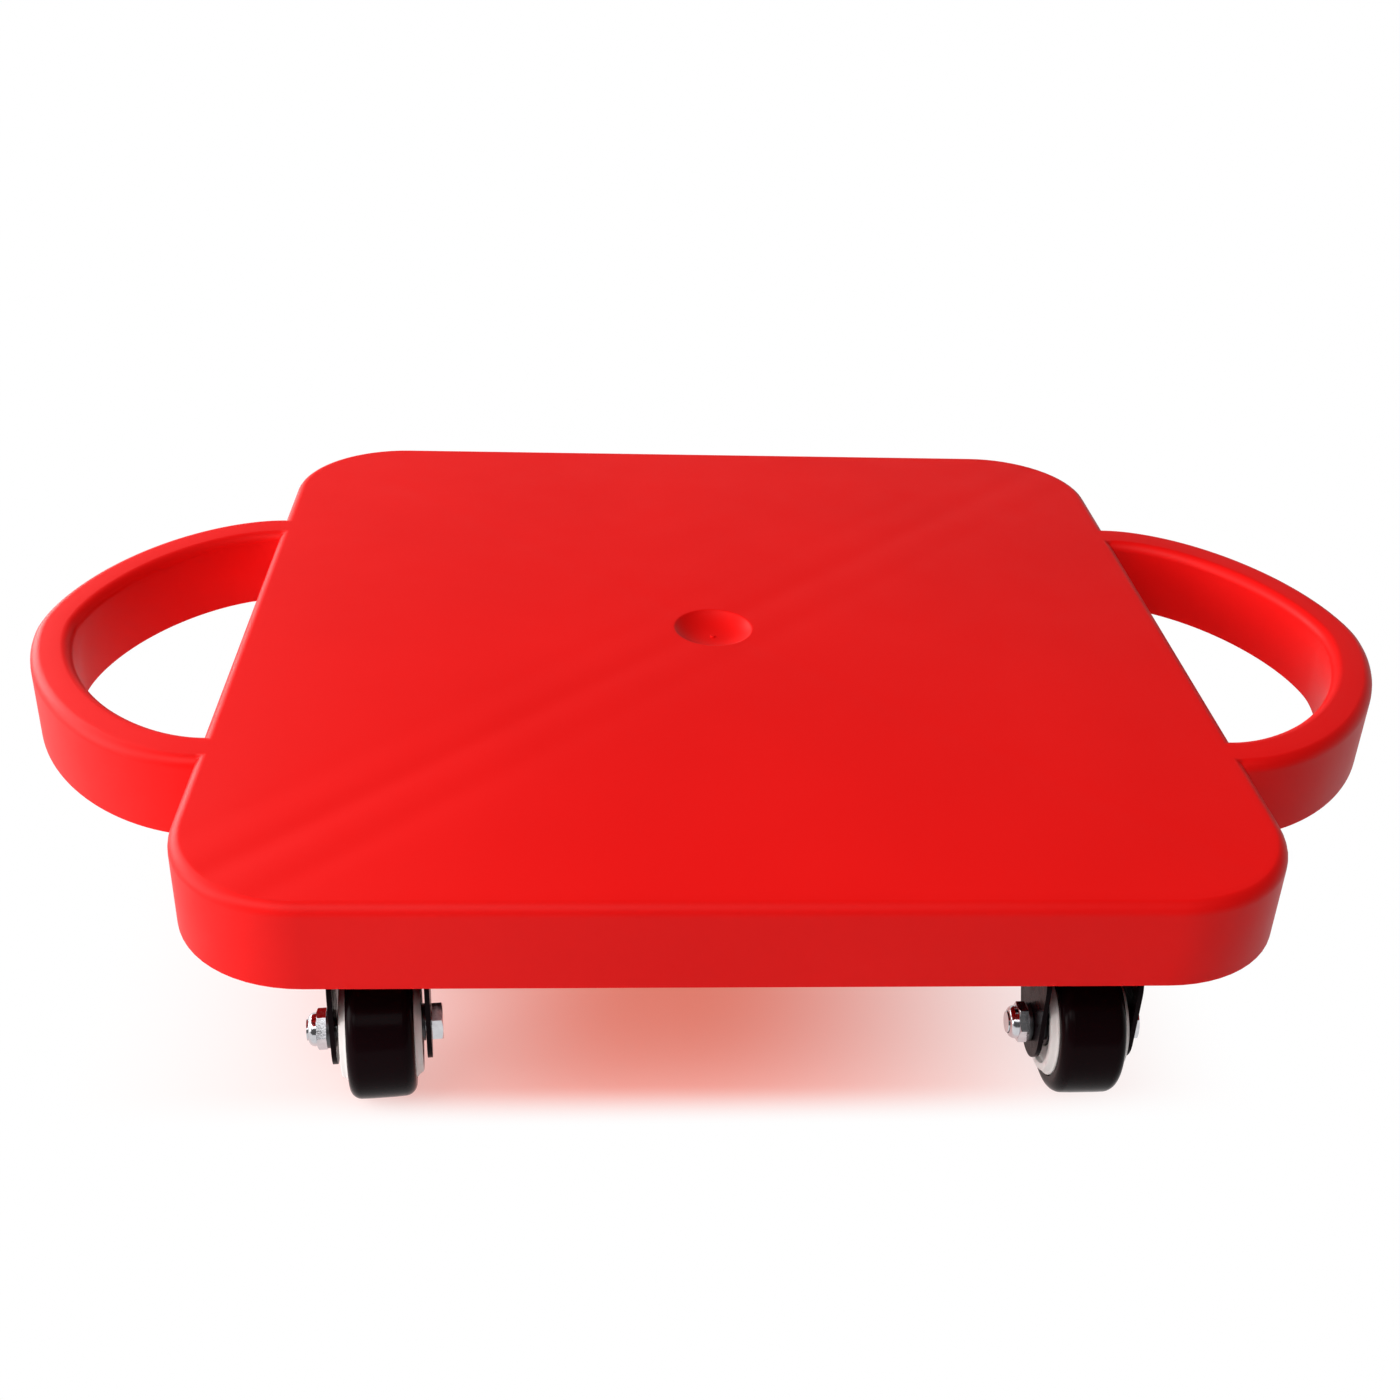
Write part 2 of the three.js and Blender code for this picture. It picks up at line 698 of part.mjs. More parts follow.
// Lock nut: six sides, and a round collar that grips the end of the bolt.
function axleNut() {
  const seat = -(forkHalfWidth + fitGap);
  const shoulder = seat - nutHexHeight;
  const end = shoulder - nutCollarHeight;
  const corner = hexRadius(nutFlats);
  const sides = [
    [0, shoulder],
    [corner - hexChamfer, shoulder],
    [corner, shoulder + hexChamfer],
    [corner, seat],
    [0, seat],
  ];
  const collar = [
    [0, end],
    [nutCollarRadius - nutCollarHeight / 2, end],
    [nutCollarRadius, end + nutCollarHeight / 2],
    [nutCollarRadius, seat],
    [0, seat],
  ];
  const bore = axleBar(boltRadius + fitGap, end - overrun, seat + overrun);
  const body = turnedOnAxle(sides, 6).add(turnedOnAxle(collar, smallFacets));
  return body.subtract(bore);
}

// The scene graph

function addMesh(parent, name, solid, material) {
  const mesh = new THREE.Mesh(geometryOf(solid), material);
  mesh.name = name;
  parent.add(mesh);
  return mesh;
}

const pieces = {
  plate: mountingPlate(),
  kingpin: kingpin(),
  ballRing: ballRing(),
  fork: fork(),
  core: wheelCore(),
  tyre: tyre(),
  bearingLeft: bearing(-1),
  bearingRight: bearing(1),
  bolt: axleBolt(),
  nut: axleNut(),
};

// A caster's plate and kingpin stay with the deck. Its fork turns on the kingpin, and its wheel on
// the axle.
function caster(name, x, y) {
  const group = new THREE.Group();
  group.position.set(x, y, 0);
  addMesh(group, `${name}_mounting_plate`, pieces.plate, materials.blackSteel);
  addMesh(group, `${name}_kingpin`, pieces.kingpin, materials.zincSteel);

  const swivel = new THREE.Group();
  swivel.rotation.z = THREE.MathUtils.degToRad(swivelDegrees[name]);
  group.add(swivel);
  addMesh(swivel, `${name}_fork`, pieces.fork, materials.blackSteel);
  addMesh(swivel, `${name}_swivel_ball_ring`, pieces.ballRing, materials.bearingSteel);

  const axle = new THREE.Group();
  axle.position.set(0, -trail, wheelRadius);
  swivel.add(axle);
  addMesh(axle, `${name}_axle_bolt`, pieces.bolt, materials.zincSteel);
  addMesh(axle, `${name}_axle_nut`, pieces.nut, materials.zincSteel);
  addMesh(axle, `${name}_wheel_core`, pieces.core, materials.core);
  addMesh(axle, `${name}_tyre`, pieces.tyre, materials.tyre);
  addMesh(axle, `${name}_bearing_left`, pieces.bearingLeft, materials.bearingSteel);
  addMesh(axle, `${name}_bearing_right`, pieces.bearingRight, materials.bearingSteel);
  return group;
}

const scooterBoard = new THREE.Group();
addMesh(scooterBoard, "deck", deck(), materials.deck);
const casterNames = ["front_left", "front_right", "rear_left", "rear_right"];
fourPlaces(swivelX, swivelY).forEach(([x, y], index) => {
  scooterBoard.add(caster(casterNames[index], x, y));
});

export default scooterBoard;
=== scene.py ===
# %% [markdown]
# # A scooter board, modelled and finished in Blender
# A scooter board is a square plastic deck on four swivel casters, with a loop to hold on each side.
# Its solids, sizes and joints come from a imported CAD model. This lesson dresses that model: it
# makes smooth pieces where the solids have facets, gives each piece its finish, and lights it.

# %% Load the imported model
import json
import math
from contextlib import contextmanager

import bmesh
import bpy
from mathutils import Matrix, Vector


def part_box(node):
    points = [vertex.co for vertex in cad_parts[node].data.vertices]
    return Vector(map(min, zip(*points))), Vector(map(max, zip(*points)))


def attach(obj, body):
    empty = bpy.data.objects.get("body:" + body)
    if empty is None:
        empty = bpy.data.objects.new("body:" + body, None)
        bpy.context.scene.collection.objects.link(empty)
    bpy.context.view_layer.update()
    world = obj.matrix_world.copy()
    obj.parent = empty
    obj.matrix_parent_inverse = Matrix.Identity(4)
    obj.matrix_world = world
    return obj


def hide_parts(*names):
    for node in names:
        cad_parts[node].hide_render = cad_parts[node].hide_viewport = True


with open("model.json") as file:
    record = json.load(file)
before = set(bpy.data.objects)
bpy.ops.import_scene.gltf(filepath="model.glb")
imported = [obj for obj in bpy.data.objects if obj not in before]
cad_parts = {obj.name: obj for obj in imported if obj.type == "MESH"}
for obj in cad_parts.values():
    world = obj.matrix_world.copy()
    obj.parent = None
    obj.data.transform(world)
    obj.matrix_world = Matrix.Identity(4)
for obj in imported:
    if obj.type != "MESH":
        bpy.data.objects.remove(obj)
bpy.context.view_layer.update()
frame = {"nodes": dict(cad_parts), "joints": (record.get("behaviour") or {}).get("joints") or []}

for stray in ("Cube", "Light", "Camera"):
    if stray in bpy.data.objects:
        bpy.data.objects.remove(bpy.data.objects[stray])

# %% [markdown]
# ## The camera
# The photograph looks down on the board from the front, a little from the left. A camera was
# fitted to the edges of the deck and to both loops, which gives its place, its turns and its
# focal length in pixels of a square picture. Blender wants that length as a lens in millimetres.

# %% Camera
MM = 0.001
PICTURE_WIDTH = 1400
FOCAL_PIXELS = 1721.9
CAMERA_PLACE = Vector((-39.5, -502.2, 344.1)) * MM
CAMERA_PITCH = math.radians(30.11)
CAMERA_YAW = math.radians(-4.12)
CAMERA_ROLL = math.radians(2.42)

camera_data = bpy.data.cameras.new("camera")
camera_data.lens = FOCAL_PIXELS / PICTURE_WIDTH * camera_data.sensor_width
camera = bpy.data.objects.new("camera", camera_data)
bpy.context.scene.collection.objects.link(camera)
turn = Matrix.Rotation(CAMERA_YAW, 4, "Z")
turn @= Matrix.Rotation(math.pi / 2 - CAMERA_PITCH, 4, "X")
turn @= Matrix.Rotation(CAMERA_ROLL, 4, "Z")
camera.matrix_world = Matrix.Translation(CAMERA_PLACE) @ turn
camera_data.clip_start = 10 * MM
bpy.context.scene.camera = camera
print("lens:", round(camera_data.lens, 1), "mm")

# %% [markdown]
# ## Tools for modelling
# Modelling by hand goes round in one circle: choose faces or edges, then push, cut or round them.
# In a script the choosing is a test on each part of the mesh, and the rest are the operators that
# the menus hold. An operator acts on all that is selected, so the choice is always made first.

# %% Select, edit and choose
CLOSE = 0.02 * MM
MERGED = 0.001 * MM


def select_only(*pieces):
    bpy.ops.object.select_all(action="DESELECT")
    for piece in pieces:
        piece.select_set(True)
    bpy.context.view_layer.objects.active = pieces[0]


@contextmanager
def editing(piece):
    """Edit mode with all of a piece selected, for as long as the indented lines run."""
    select_only(piece)
    bpy.ops.object.mode_set(mode="EDIT")
    bpy.ops.mesh.select_all(action="SELECT")
    yield
    bpy.ops.object.mode_set(mode="OBJECT")


def choose(kind, test):
    """Selects exactly the vertices, edges or faces that pass the test."""
    bpy.ops.mesh.select_mode(type=kind)
    bpy.ops.mesh.select_all(action="DESELECT")
    shape = bmesh.from_edit_mesh(bpy.context.object.data)
    parts = {"VERT": shape.verts, "EDGE": shape.edges, "FACE": shape.faces}[kind]
    for part in parts:
        if test(part):
            part.select_set(True)
    shape.select_flush_mode()
    bmesh.update_edit_mesh(bpy.context.object.data)


def centre(part):
    """The middle of an edge or a face."""
    return sum((corner.co for corner in part.verts), Vector()) / len(part.verts)


def near(value, target):
    return abs(value - target) < CLOSE


def looks_up(face):
    return face.normal.z > 0.5


def looks_down(face):
    return face.normal.z < -0.5


def faces_outward(piece):
    with editing(piece):
        bpy.ops.mesh.remove_doubles(threshold=MERGED)
        bpy.ops.mesh.normals_make_consistent(inside=False)
        bpy.ops.mesh.delete_loose()


def measure(piece):
    """Prints how many faces a piece has, its size, and how many of its edges don't join two faces."""
    shape = bmesh.new()
    shape.from_mesh(piece.data)
    open_edges = sum(not edge.is_manifold for edge in shape.edges)
    size = [round(length / MM, 1) for length in piece.dimensions]
    print(piece.name, len(shape.faces), "faces,", size, "mm,", open_edges, "open edges")
    shape.free()


print("tools ready")

# %% [markdown]
# Plastic and sheet metal parts start from the same few forms: a slab with round corners, a bar,
# and a section turned on a lathe. Each form starts from a primitive. A slab is a square whose four
# corners are bevelled before it is pulled up. A turned part is a closed outline that spins round.

# %% Slabs, bars and turned parts
def named(name):
    piece = bpy.context.object
    piece.name = name
    bpy.ops.object.transform_apply(location=True, rotation=True, scale=True)
    return piece


def slab(name, side, radius, low, high, steps=8, middle=(0, 0)):
    """A square with round corners, pulled from one height to another."""
    bpy.ops.mesh.primitive_plane_add(size=1, location=(*middle, low))
    bpy.context.object.scale = (side, side, 1)
    piece = named(name)
    with editing(piece):
        bpy.ops.mesh.bevel(offset=radius, segments=steps, affect="VERTICES")
        bpy.ops.mesh.select_all(action="SELECT")
        up = {"value": (0, 0, high - low)}
        bpy.ops.mesh.extrude_region_move(TRANSFORM_OT_translate=up)
    faces_outward(piece)
    return piece


def block(name, low, high):
    """A bar between two corners."""
    low, high = Vector(low), Vector(high)
    bpy.ops.mesh.primitive_cube_add(size=1, location=(low + high) / 2)
    bpy.context.object.scale = high - low
    return named(name)


def peg(name, radius, low, high, middle=(0, 0), sides=32):
    """A round bar that stands up."""
    place = (*middle, (low + high) / 2)
    bpy.ops.mesh.primitive_cylinder_add(vertices=sides, radius=radius, depth=high - low, location=place)
    return named(name)


def turned(name, outline, steps=64, axle=False):
    """A closed outline of (radius, place) points, spun round Z, or round X for a part on an axle."""
    bpy.ops.mesh.primitive_circle_add(vertices=len(outline), radius=1)
    piece = named(name)
    for corner, (radius, place) in zip(piece.data.vertices, outline):
        corner.co = (0, radius, place)
    with editing(piece):
        bpy.ops.mesh.spin(steps=steps, angle=2 * math.pi, center=(0, 0, 0), axis=(0, 0, 1))
    if axle:
        piece.data.transform(Matrix.Rotation(math.pi / 2, 4, "Y"))
    faces_outward(piece)
    return piece


print("forms ready")

# %% [markdown]
# A boolean modifier adds one solid to another, cuts it away, or keeps only what both fill. It is
# the quickest way to put ribs inside a tray or a hole through a plate.
# What repeats is made once. A copy gets a mesh of its own, and its place goes into that mesh.

# %% Join, cut and copy
def combine(piece, other, operation, keep_other=False):
    step = piece.modifiers.new(operation, "BOOLEAN")
    step.operation = operation
    step.solver = "MANIFOLD"
    step.object = other
    select_only(piece)
    bpy.ops.object.modifier_apply(modifier=step.name)
    if not keep_other:
        bpy.data.objects.remove(other)
    return piece


def joined(pieces):
    whole = pieces[0]
    for piece in pieces[1:]:
        combine(whole, piece, "UNION")
    return whole


def copied(piece, name, move):
    twin = bpy.data.objects.new(name, piece.data.copy())
    bpy.context.scene.collection.objects.link(twin)
    twin.data.transform(move)
    return twin


def round_edges(piece, width, steps=2, angle=30):
    """Rounds every edge sharper than an angle by a small width."""
    rounding = piece.modifiers.new("rounding", "BEVEL")
    rounding.width = width
    rounding.segments = steps
    rounding.limit_method = "ANGLE"
    rounding.angle_limit = math.radians(angle)
    rounding.miter_outer = "MITER_ARC"
    select_only(piece)
    bpy.ops.object.modifier_apply(modifier=rounding.name)


def smooth(piece, angle=35):
    """Shades curved walls smooth and lets the largest faces set the normals, so flats stay flat."""
    select_only(piece)
    bpy.ops.object.shade_smooth_by_angle(angle=math.radians(angle))
    weights = piece.modifiers.new("weights", "WEIGHTED_NORMAL")
    weights.keep_sharp = True
    bpy.ops.object.modifier_apply(modifier=weights.name)


print("booleans ready")

# %% [markdown]
# ## The deck
# The deck is one moulding: a tray turned upside down, with a rounded top edge, a dimple where the
# plastic entered the mould, a hand loop on each side and a lattice of ribs below.
# Its outside starts as a slab. The photograph shows an even fillet along its top edge, so that
# edge is bevelled in one go.

# %% Deck outside
deck_low, deck_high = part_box("deck")
DECK_HALF = deck_high.y
DECK_TOP = deck_high.z
DECK_BOTTOM = deck_low.z
LOOP_REACH = deck_high.x - DECK_HALF
CORNER_RADIUS = 39 * MM
EDGE_RADIUS = 3.5 * MM
EDGE_STEPS = 6
CORNER_STEPS = 16


def is_at_top(edge):
    return all(near(corner.co.z, DECK_TOP) for corner in edge.verts)


deck = slab("moulded_deck", 2 * DECK_HALF, CORNER_RADIUS, DECK_BOTTOM, DECK_TOP, CORNER_STEPS)
with editing(deck):
    choose("EDGE", is_at_top)
    bpy.ops.mesh.bevel(offset=EDGE_RADIUS, segments=EDGE_STEPS, affect="EDGES")
measure(deck)

# %% [markdown]
# ## The hand loops
# Seen from above, a loop is not quite half an ellipse: it is a little more pointed, a curve called
# a superellipse. So a plain section, one metre wide, is spun half round, as for a ring that starts
# at a radius of one metre. How far a corner stands out in that ring then says its place between
# the loop's inner and outer curve. The same function makes the pockets that hollow the loop from
# below, because they are the loop again, only thinner.

# %% A function for a hand loop
LOOP_HALF_LENGTH = 83.4 * MM
LOOP_POWER = 1.77
GRIP_REACH = 53.4 * MM
GRIP_HALF_LENGTH = 68.8 * MM
GRIP_POWER = 1.73
SKIRT_WALL = 3.4 * MM
LOOP_ROOT = EDGE_RADIUS + SKIRT_WALL
LOOP_STEPS = 72
RING_START = 1.0
RING_WIDTH = 1.0


def oval_point(angle, reach, half_length, power):
    across = abs(math.cos(angle)) ** (2 / power)
    along = math.copysign(abs(math.sin(angle)) ** (2 / power), angle)
    return Vector((DECK_HALF + reach * across, half_length * along))


def loop_ring(name, wall, low, high, start, sweep, steps):
    """The part of the loop between two angles, thinner by a wall on its two faces."""
    middle = (RING_START + RING_WIDTH / 2, 0, (low + high) / 2)
    bpy.ops.mesh.primitive_plane_add(size=1, location=middle, rotation=(math.pi / 2, 0, 0))
    bpy.context.object.scale = (RING_WIDTH, high - low, 1)
    piece = named(name)
    with editing(piece):
        bpy.ops.mesh.spin(steps=steps, angle=sweep, center=(0, 0, 0), axis=(0, 0, 1))
    for corner in piece.data.vertices:
        x, y, z = corner.co
        angle = start + abs(math.atan2(y, x))
        outer = oval_point(angle, LOOP_REACH, LOOP_HALF_LENGTH, LOOP_POWER)
        inner = oval_point(angle, GRIP_REACH, GRIP_HALF_LENGTH, GRIP_POWER)
        inset = (outer - inner).normalized() * wall
        share = (math.hypot(x, y) - RING_START) / RING_WIDTH
        corner.co = (*(inner + inset).lerp(outer - inset, share), z)
    with editing(piece):
        bpy.ops.mesh.normals_make_consistent(inside=False)
    return piece


def hand_loop():
    loop = loop_ring("hand_loop", 0, DECK_BOTTOM, DECK_TOP, -math.pi / 2, math.pi, LOOP_STEPS)
    with editing(loop):
        choose("FACE", lambda face: near(centre(face).x, DECK_HALF) and abs(face.normal.x) > 0.5)
        inward = {"value": (-LOOP_ROOT, 0, 0)}
        bpy.ops.mesh.extrude_region_move(TRANSFORM_OT_translate=inward)
    faces_outward(loop)
    with editing(loop):
        choose("EDGE", is_top_rim)
        bpy.ops.mesh.bevel(offset=EDGE_RADIUS, segments=EDGE_STEPS, affect="EDGES")
    return loop


def is_top_rim(edge):
    at_end = near(centre(edge).x, DECK_HALF - LOOP_ROOT)
    return is_at_top(edge) and not at_end and edge.calc_face_angle() > math.pi / 4


print("loop's section:", round((LOOP_REACH - GRIP_REACH) / MM, 1), "mm wide")

# %% [markdown]
# Both ends of a loop are pulled into the deck's wall, so that the two solids overlap and join as
# one moulding. The left loop is the right one turned half round.

# %% Both loops on the deck
right_loop = hand_loop()
left_loop = copied(right_loop, "left_loop", Matrix.Rotation(math.pi, 4, "Z"))
measure(right_loop)
combine(deck, right_loop, "UNION")
combine(deck, left_loop, "UNION")
measure(deck)

# %% [markdown]
# ## The hollow underside
# A moulder keeps every wall about as thick as the next, so the deck is hollow below. The cavity is
# a second slab, drawn in by the wall and a little narrower at its top, because a moulding must slip
# off its core. The pockets of the loops are cut in the same way, with webs left between them.

# %% Cavity and pockets
DRAFT = 0.0175
TOP_WALL = 3.6 * MM
CAVITY_TOP = DECK_TOP - TOP_WALL
LOOP_WALL = 2.8 * MM
LOOP_TOP_WALL = 3.2 * MM
LOOP_WEB = 2.2 * MM
POCKETS = 6
POCKET_STEPS = 12
OVERRUN = 1 * MM

inside_half = DECK_HALF - SKIRT_WALL
cavity_ends = (DECK_BOTTOM - OVERRUN, CAVITY_TOP)
cavity = slab("cavity", 2 * inside_half, CORNER_RADIUS - SKIRT_WALL, *cavity_ends, CORNER_STEPS)
with editing(cavity):
    choose("FACE", looks_up)
    lean = 1 - DRAFT * (CAVITY_TOP - DECK_BOTTOM) / inside_half
    bpy.ops.transform.resize(value=(lean, lean, 1), center_override=(0, 0, CAVITY_TOP))
combine(deck, cavity, "DIFFERENCE")

pocket_sweep = math.pi / POCKETS
oval_length = math.pi * math.hypot(LOOP_REACH, LOOP_HALF_LENGTH) * math.sqrt(0.5)
web_sweep = math.pi * LOOP_WEB / oval_length
pocket_ends = (DECK_BOTTOM - OVERRUN, DECK_TOP - LOOP_TOP_WALL)
for pocket in range(POCKETS):
    start = (pocket - POCKETS / 2) * pocket_sweep + web_sweep / 2
    sweep = pocket_sweep - web_sweep
    hollow = loop_ring("pocket", LOOP_WALL, *pocket_ends, start, sweep, POCKET_STEPS)
    opposite = copied(hollow, "pocket_opposite", Matrix.Rotation(math.pi, 4, "Z"))
    combine(deck, hollow, "DIFFERENCE")
    combine(deck, opposite, "DIFFERENCE")
measure(deck)

# %% [markdown]
# ## Ribs
# Thin ribs carry the load across the deck. They run along both diagonals, which gives the faint
# lines that the photograph shows on top, where the plastic over a rib shrank as it cooled. Each rib
# is a bar that gets thinner towards its tip.

# %% Ribs
RIB_PITCH = 35 * MM
RIB_WALL = 2.4 * MM
SPINE_WALL = 3.2 * MM
RIB_SETBACK = 4 * MM
RIB_ROWS = 4


def rib(wall, offset, turn):
    tip = DECK_BOTTOM + RIB_SETBACK
    reach = 2 * DECK_HALF
    high = (offset + wall / 2, reach, CAVITY_TOP + OVERRUN)
    bar = block("rib", (offset - wall / 2, -reach, tip), high)
    with editing(bar):
        choose("FACE", looks_down)
        narrower = 1 - DRAFT * (CAVITY_TOP - tip) / wall
        bpy.ops.transform.resize(value=(narrower, 1, 1), center_override=(offset, 0, tip))
    bar.data.transform(Matrix.Rotation(turn, 4, "Z"))
    return bar


ribs = []
for turn in (math.pi / 4, -math.pi / 4):
    ribs.append(rib(SPINE_WALL, 0, turn))
    for row in range(RIB_ROWS):
        offset = (row + 0.5) * RIB_PITCH
        ribs += [rib(RIB_WALL, offset, turn), rib(RIB_WALL, -offset, turn)]
lattice = joined(ribs)
measure(lattice)

# %% [markdown]
# A caster needs a firm seat, so a square pad stands under each corner: a low frame, two arms that
# cross in it and four bosses for screws. The ribs are cleared away where it goes, and end on it.

# %% Pads for the casters
CASTERS = ["front_left", "front_right", "rear_left", "rear_right"]
PAD_SIZE = 46 * MM
PAD_RADIUS = 6 * MM
PAD_WALL = 3.2 * MM
BOSS_RADIUS = 4.6 * MM
SCREW_SPACING = 32 * MM
SCREW_RADIUS = 1.9 * MM
SCREW_DEPTH = 14 * MM

joints = {joint["name"]: joint for joint in frame["joints"]}
swivels = {caster: Vector(joints[caster + "_swivel"]["pos_m"]) for caster in CASTERS}


def screw_places(middle=(0, 0)):
    half = SCREW_SPACING / 2
    return [(middle[0] + x, middle[1] + y) for x in (-half, half) for y in (-half, half)]


def pad(middle):
    top = CAVITY_TOP + OVERRUN
    inner = PAD_SIZE - 2 * PAD_WALL
    frame_wall = slab("pad", PAD_SIZE, PAD_RADIUS, DECK_BOTTOM, top, middle=middle)
    space_ends = (DECK_BOTTOM - OVERRUN, top + OVERRUN)
    space = slab("space", inner, PAD_RADIUS - PAD_WALL, *space_ends, middle=middle)
    combine(frame_wall, space, "DIFFERENCE")
    arm_half = (PAD_SIZE - PAD_WALL) / 2
    for half_x, half_y in ((arm_half, RIB_WALL / 2), (RIB_WALL / 2, arm_half)):
        corner = Vector((half_x, half_y, 0))
        centre_low = Vector((*middle, DECK_BOTTOM))
        centre_high = Vector((*middle, top))
        combine(frame_wall, block("arm", centre_low - corner, centre_high + corner), "UNION")
    for place in screw_places(middle):
        combine(frame_wall, peg("boss", BOSS_RADIUS, DECK_BOTTOM, top, place), "UNION")
    return frame_wall


clear = PAD_SIZE - PAD_WALL
clear_radius = PAD_RADIUS - PAD_WALL / 2
for caster in CASTERS:
    middle = tuple(swivels[caster].xy)
    space = slab("pad_space", clear, clear_radius, DECK_BOTTOM, DECK_TOP, middle=middle)
    combine(lattice, space, "DIFFERENCE")
    combine(lattice, pad(middle), "UNION")
measure(lattice)

# %% [markdown]
# The lattice is still too large. Only what lies inside the deck is kept, reaching a little way into
# its walls, so that both join as one solid. The bowl of the dimple will be as deep as the deck's
# top is thick, so a round seat below it is added to the lattice first.

# %% Ribs and pads joined to the deck
DIMPLE_RADIUS = 13.2 * MM
DIMPLE_DEPTH = 3.6 * MM

dimple_bottom = DECK_TOP - DIMPLE_DEPTH
seat_ends = (dimple_bottom - TOP_WALL, CAVITY_TOP + OVERRUN)
combine(lattice, peg("seat", DIMPLE_RADIUS + RIB_WALL, *seat_ends, sides=64), "UNION")
inside_size = 2 * DECK_HALF - SKIRT_WALL
inside_ends = (DECK_BOTTOM, CAVITY_TOP + TOP_WALL / 2)
inside = slab("inside", inside_size, CORNER_RADIUS - SKIRT_WALL / 2, *inside_ends, CORNER_STEPS)
combine(lattice, inside, "INTERSECT")
combine(deck, lattice, "UNION")
for caster in CASTERS:
    for place in screw_places(tuple(swivels[caster].xy)):
        hole = peg("hole", SCREW_RADIUS, DECK_BOTTOM - OVERRUN, DECK_BOTTOM + SCREW_DEPTH, place, 16)
        combine(deck, hole, "DIFFERENCE")
measure(deck)

# %% [markdown]
# ## The dimple
# The plastic entered the mould in the middle of the deck, and a shallow bowl keeps the rough stub
# of that gate below the surface. Its depth follows 1 - r^3, so it is flat at the bottom and steep
# at the rim, where the photograph shows a crisp edge. The stub is a low pin in the middle.

# %% Dimple
DIMPLE_POWER = 3
DIMPLE_LIP = 0.4 * MM
STUB_RADIUS = 0.9 * MM
STUB_HEIGHT = 0.5 * MM
BOWL_RINGS = 24
RIM_ANGLE = 0.2
FINE_SIDES = 96

rim_radius = DIMPLE_RADIUS - DIMPLE_LIP


def bowl_point(share):
    """The bowl's radius and height at a share of the way to its rim."""
    return rim_radius * share, DECK_TOP - DIMPLE_DEPTH * (1 - share**DIMPLE_POWER)


def is_dimple_rim(edge):
    in_dimple = centre(edge).xy.length < DIMPLE_RADIUS
    return is_at_top(edge) and in_dimple and edge.calc_face_angle(0) > RIM_ANGLE


bowl_outline = [bowl_point(ring / BOWL_RINGS) for ring in range(BOWL_RINGS + 1)]
bowl_outline += [(rim_radius, DECK_TOP + OVERRUN), (0, DECK_TOP + OVERRUN)]
combine(deck, turned("bowl", bowl_outline, FINE_SIDES), "DIFFERENCE")
with editing(deck):
    choose("EDGE", is_dimple_rim)
    bpy.ops.mesh.bevel(offset=DIMPLE_LIP, segments=4, affect="EDGES")

stub = peg("stub", STUB_RADIUS, dimple_bottom - OVERRUN, dimple_bottom + STUB_HEIGHT, sides=24)
with editing(stub):
    choose("FACE", looks_up)
    bpy.ops.mesh.bevel(offset=STUB_RADIUS / 3, segments=3, affect="EDGES")
combine(deck, stub, "UNION")
smooth(deck)
measure(deck)

# %% [markdown]
# ## The casters
# A caster is a small machine: a plate on the deck, a rivet, a fork that turns on it over a ring of
# balls, and a wheel between the fork's legs. All four are alike, so each piece is made once, at a
# swivel that stands on the origin with its wheel trailing to the front, and is then copied to the
# four places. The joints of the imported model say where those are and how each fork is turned.

# %% Places of the casters
wheel_joint = joints["front_left_wheel_spin"]
WHEEL_RADIUS = wheel_joint["pos_m"][2]
TRAIL = (Vector(wheel_joint["pos_m"]).xy - swivels["front_left"].xy).length
AXLE = Matrix.Translation((0, -TRAIL, WHEEL_RADIUS))


def caster_place(caster, turns_with_fork=True):
    across, along, _ = joints[caster + "_wheel_spin"]["axis"]
    angle = math.atan2(along, across) if turns_with_fork else 0
    place = Matrix.Translation((*swivels[caster].xy, 0))
    return place @ Matrix.Rotation(angle, 4, "Z")


def fit_to_casters(piece, kind, body, node, material):
    """Copies a piece to the four casters, in the place of the CAD node of each."""
    for caster in CASTERS:
        move = caster_place(caster, turns_with_fork=body != "board")
        twin = copied(piece, caster + "_" + kind, move)
        twin.data.materials.clear()
        twin.data.materials.append(material)
        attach(twin, "board" if body == "board" else caster + "_" + body)
        if node:
            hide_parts(caster + "_" + node)
    measure(piece)
    bpy.data.objects.remove(piece)


print("trail:", round(TRAIL / MM, 2), "mm, wheel radius:", round(WHEEL_RADIUS / MM, 2), "mm")

# %% [markdown]
# ## Finishes
# A finish is a small net of nodes. Adding a node, setting it and linking it takes several lines, so
# one function does all three and the nets stay short enough to read.

# %% Helpers for node nets
def new_finish(name, colour, roughness, metallic=0.0):
    """A material with one shader. Gives the material, its node tree and the shader."""
    material = bpy.data.materials.new(name)
    material.use_nodes = True
    tree = material.node_tree
    shader = tree.nodes["Principled BSDF"]
    shader.inputs["Base Color"].default_value = (*colour, 1)
    shader.inputs["Roughness"].default_value = roughness
    shader.inputs["Metallic"].default_value = metallic
    material.diffuse_color = (*colour, 1)
    return material, tree, shader


def add_node(tree, kind, settings=None, **links):
    """A node with settings. A link is named for its socket: Some_Name, or i2 for the third one."""
    node = tree.nodes.new(kind)
    for key, value in (settings or {}).items():
        setattr(node, key, value)
    for key, value in links.items():
        socket = node.inputs[int(key[1:])] if key[1:].isdigit() else node.inputs[key.replace("_", " ")]
        if isinstance(value, bpy.types.NodeSocket):
            tree.links.new(value, socket)
        else:
            socket.default_value = value
    return node


def math_node(tree, operation, first, second=0.0):
    node = add_node(tree, "ShaderNodeMath", {"operation": operation}, i0=first, i1=second)
    return node.outputs[0]


def object_place(tree):
    return add_node(tree, "ShaderNodeTexCoord").outputs["Object"]


print("nodes can be linked")

# %% [markdown]
# Noise makes the colour and the gloss uneven, as they are on a real part, and a bump makes the fine
# grain. Noise reads the place on the object, in metres, so that a pattern keeps its real size: a
# scale of 1000 has grains of about a millimetre. Its values seldom leave the middle of their range,
# so that middle is what gets spread out.

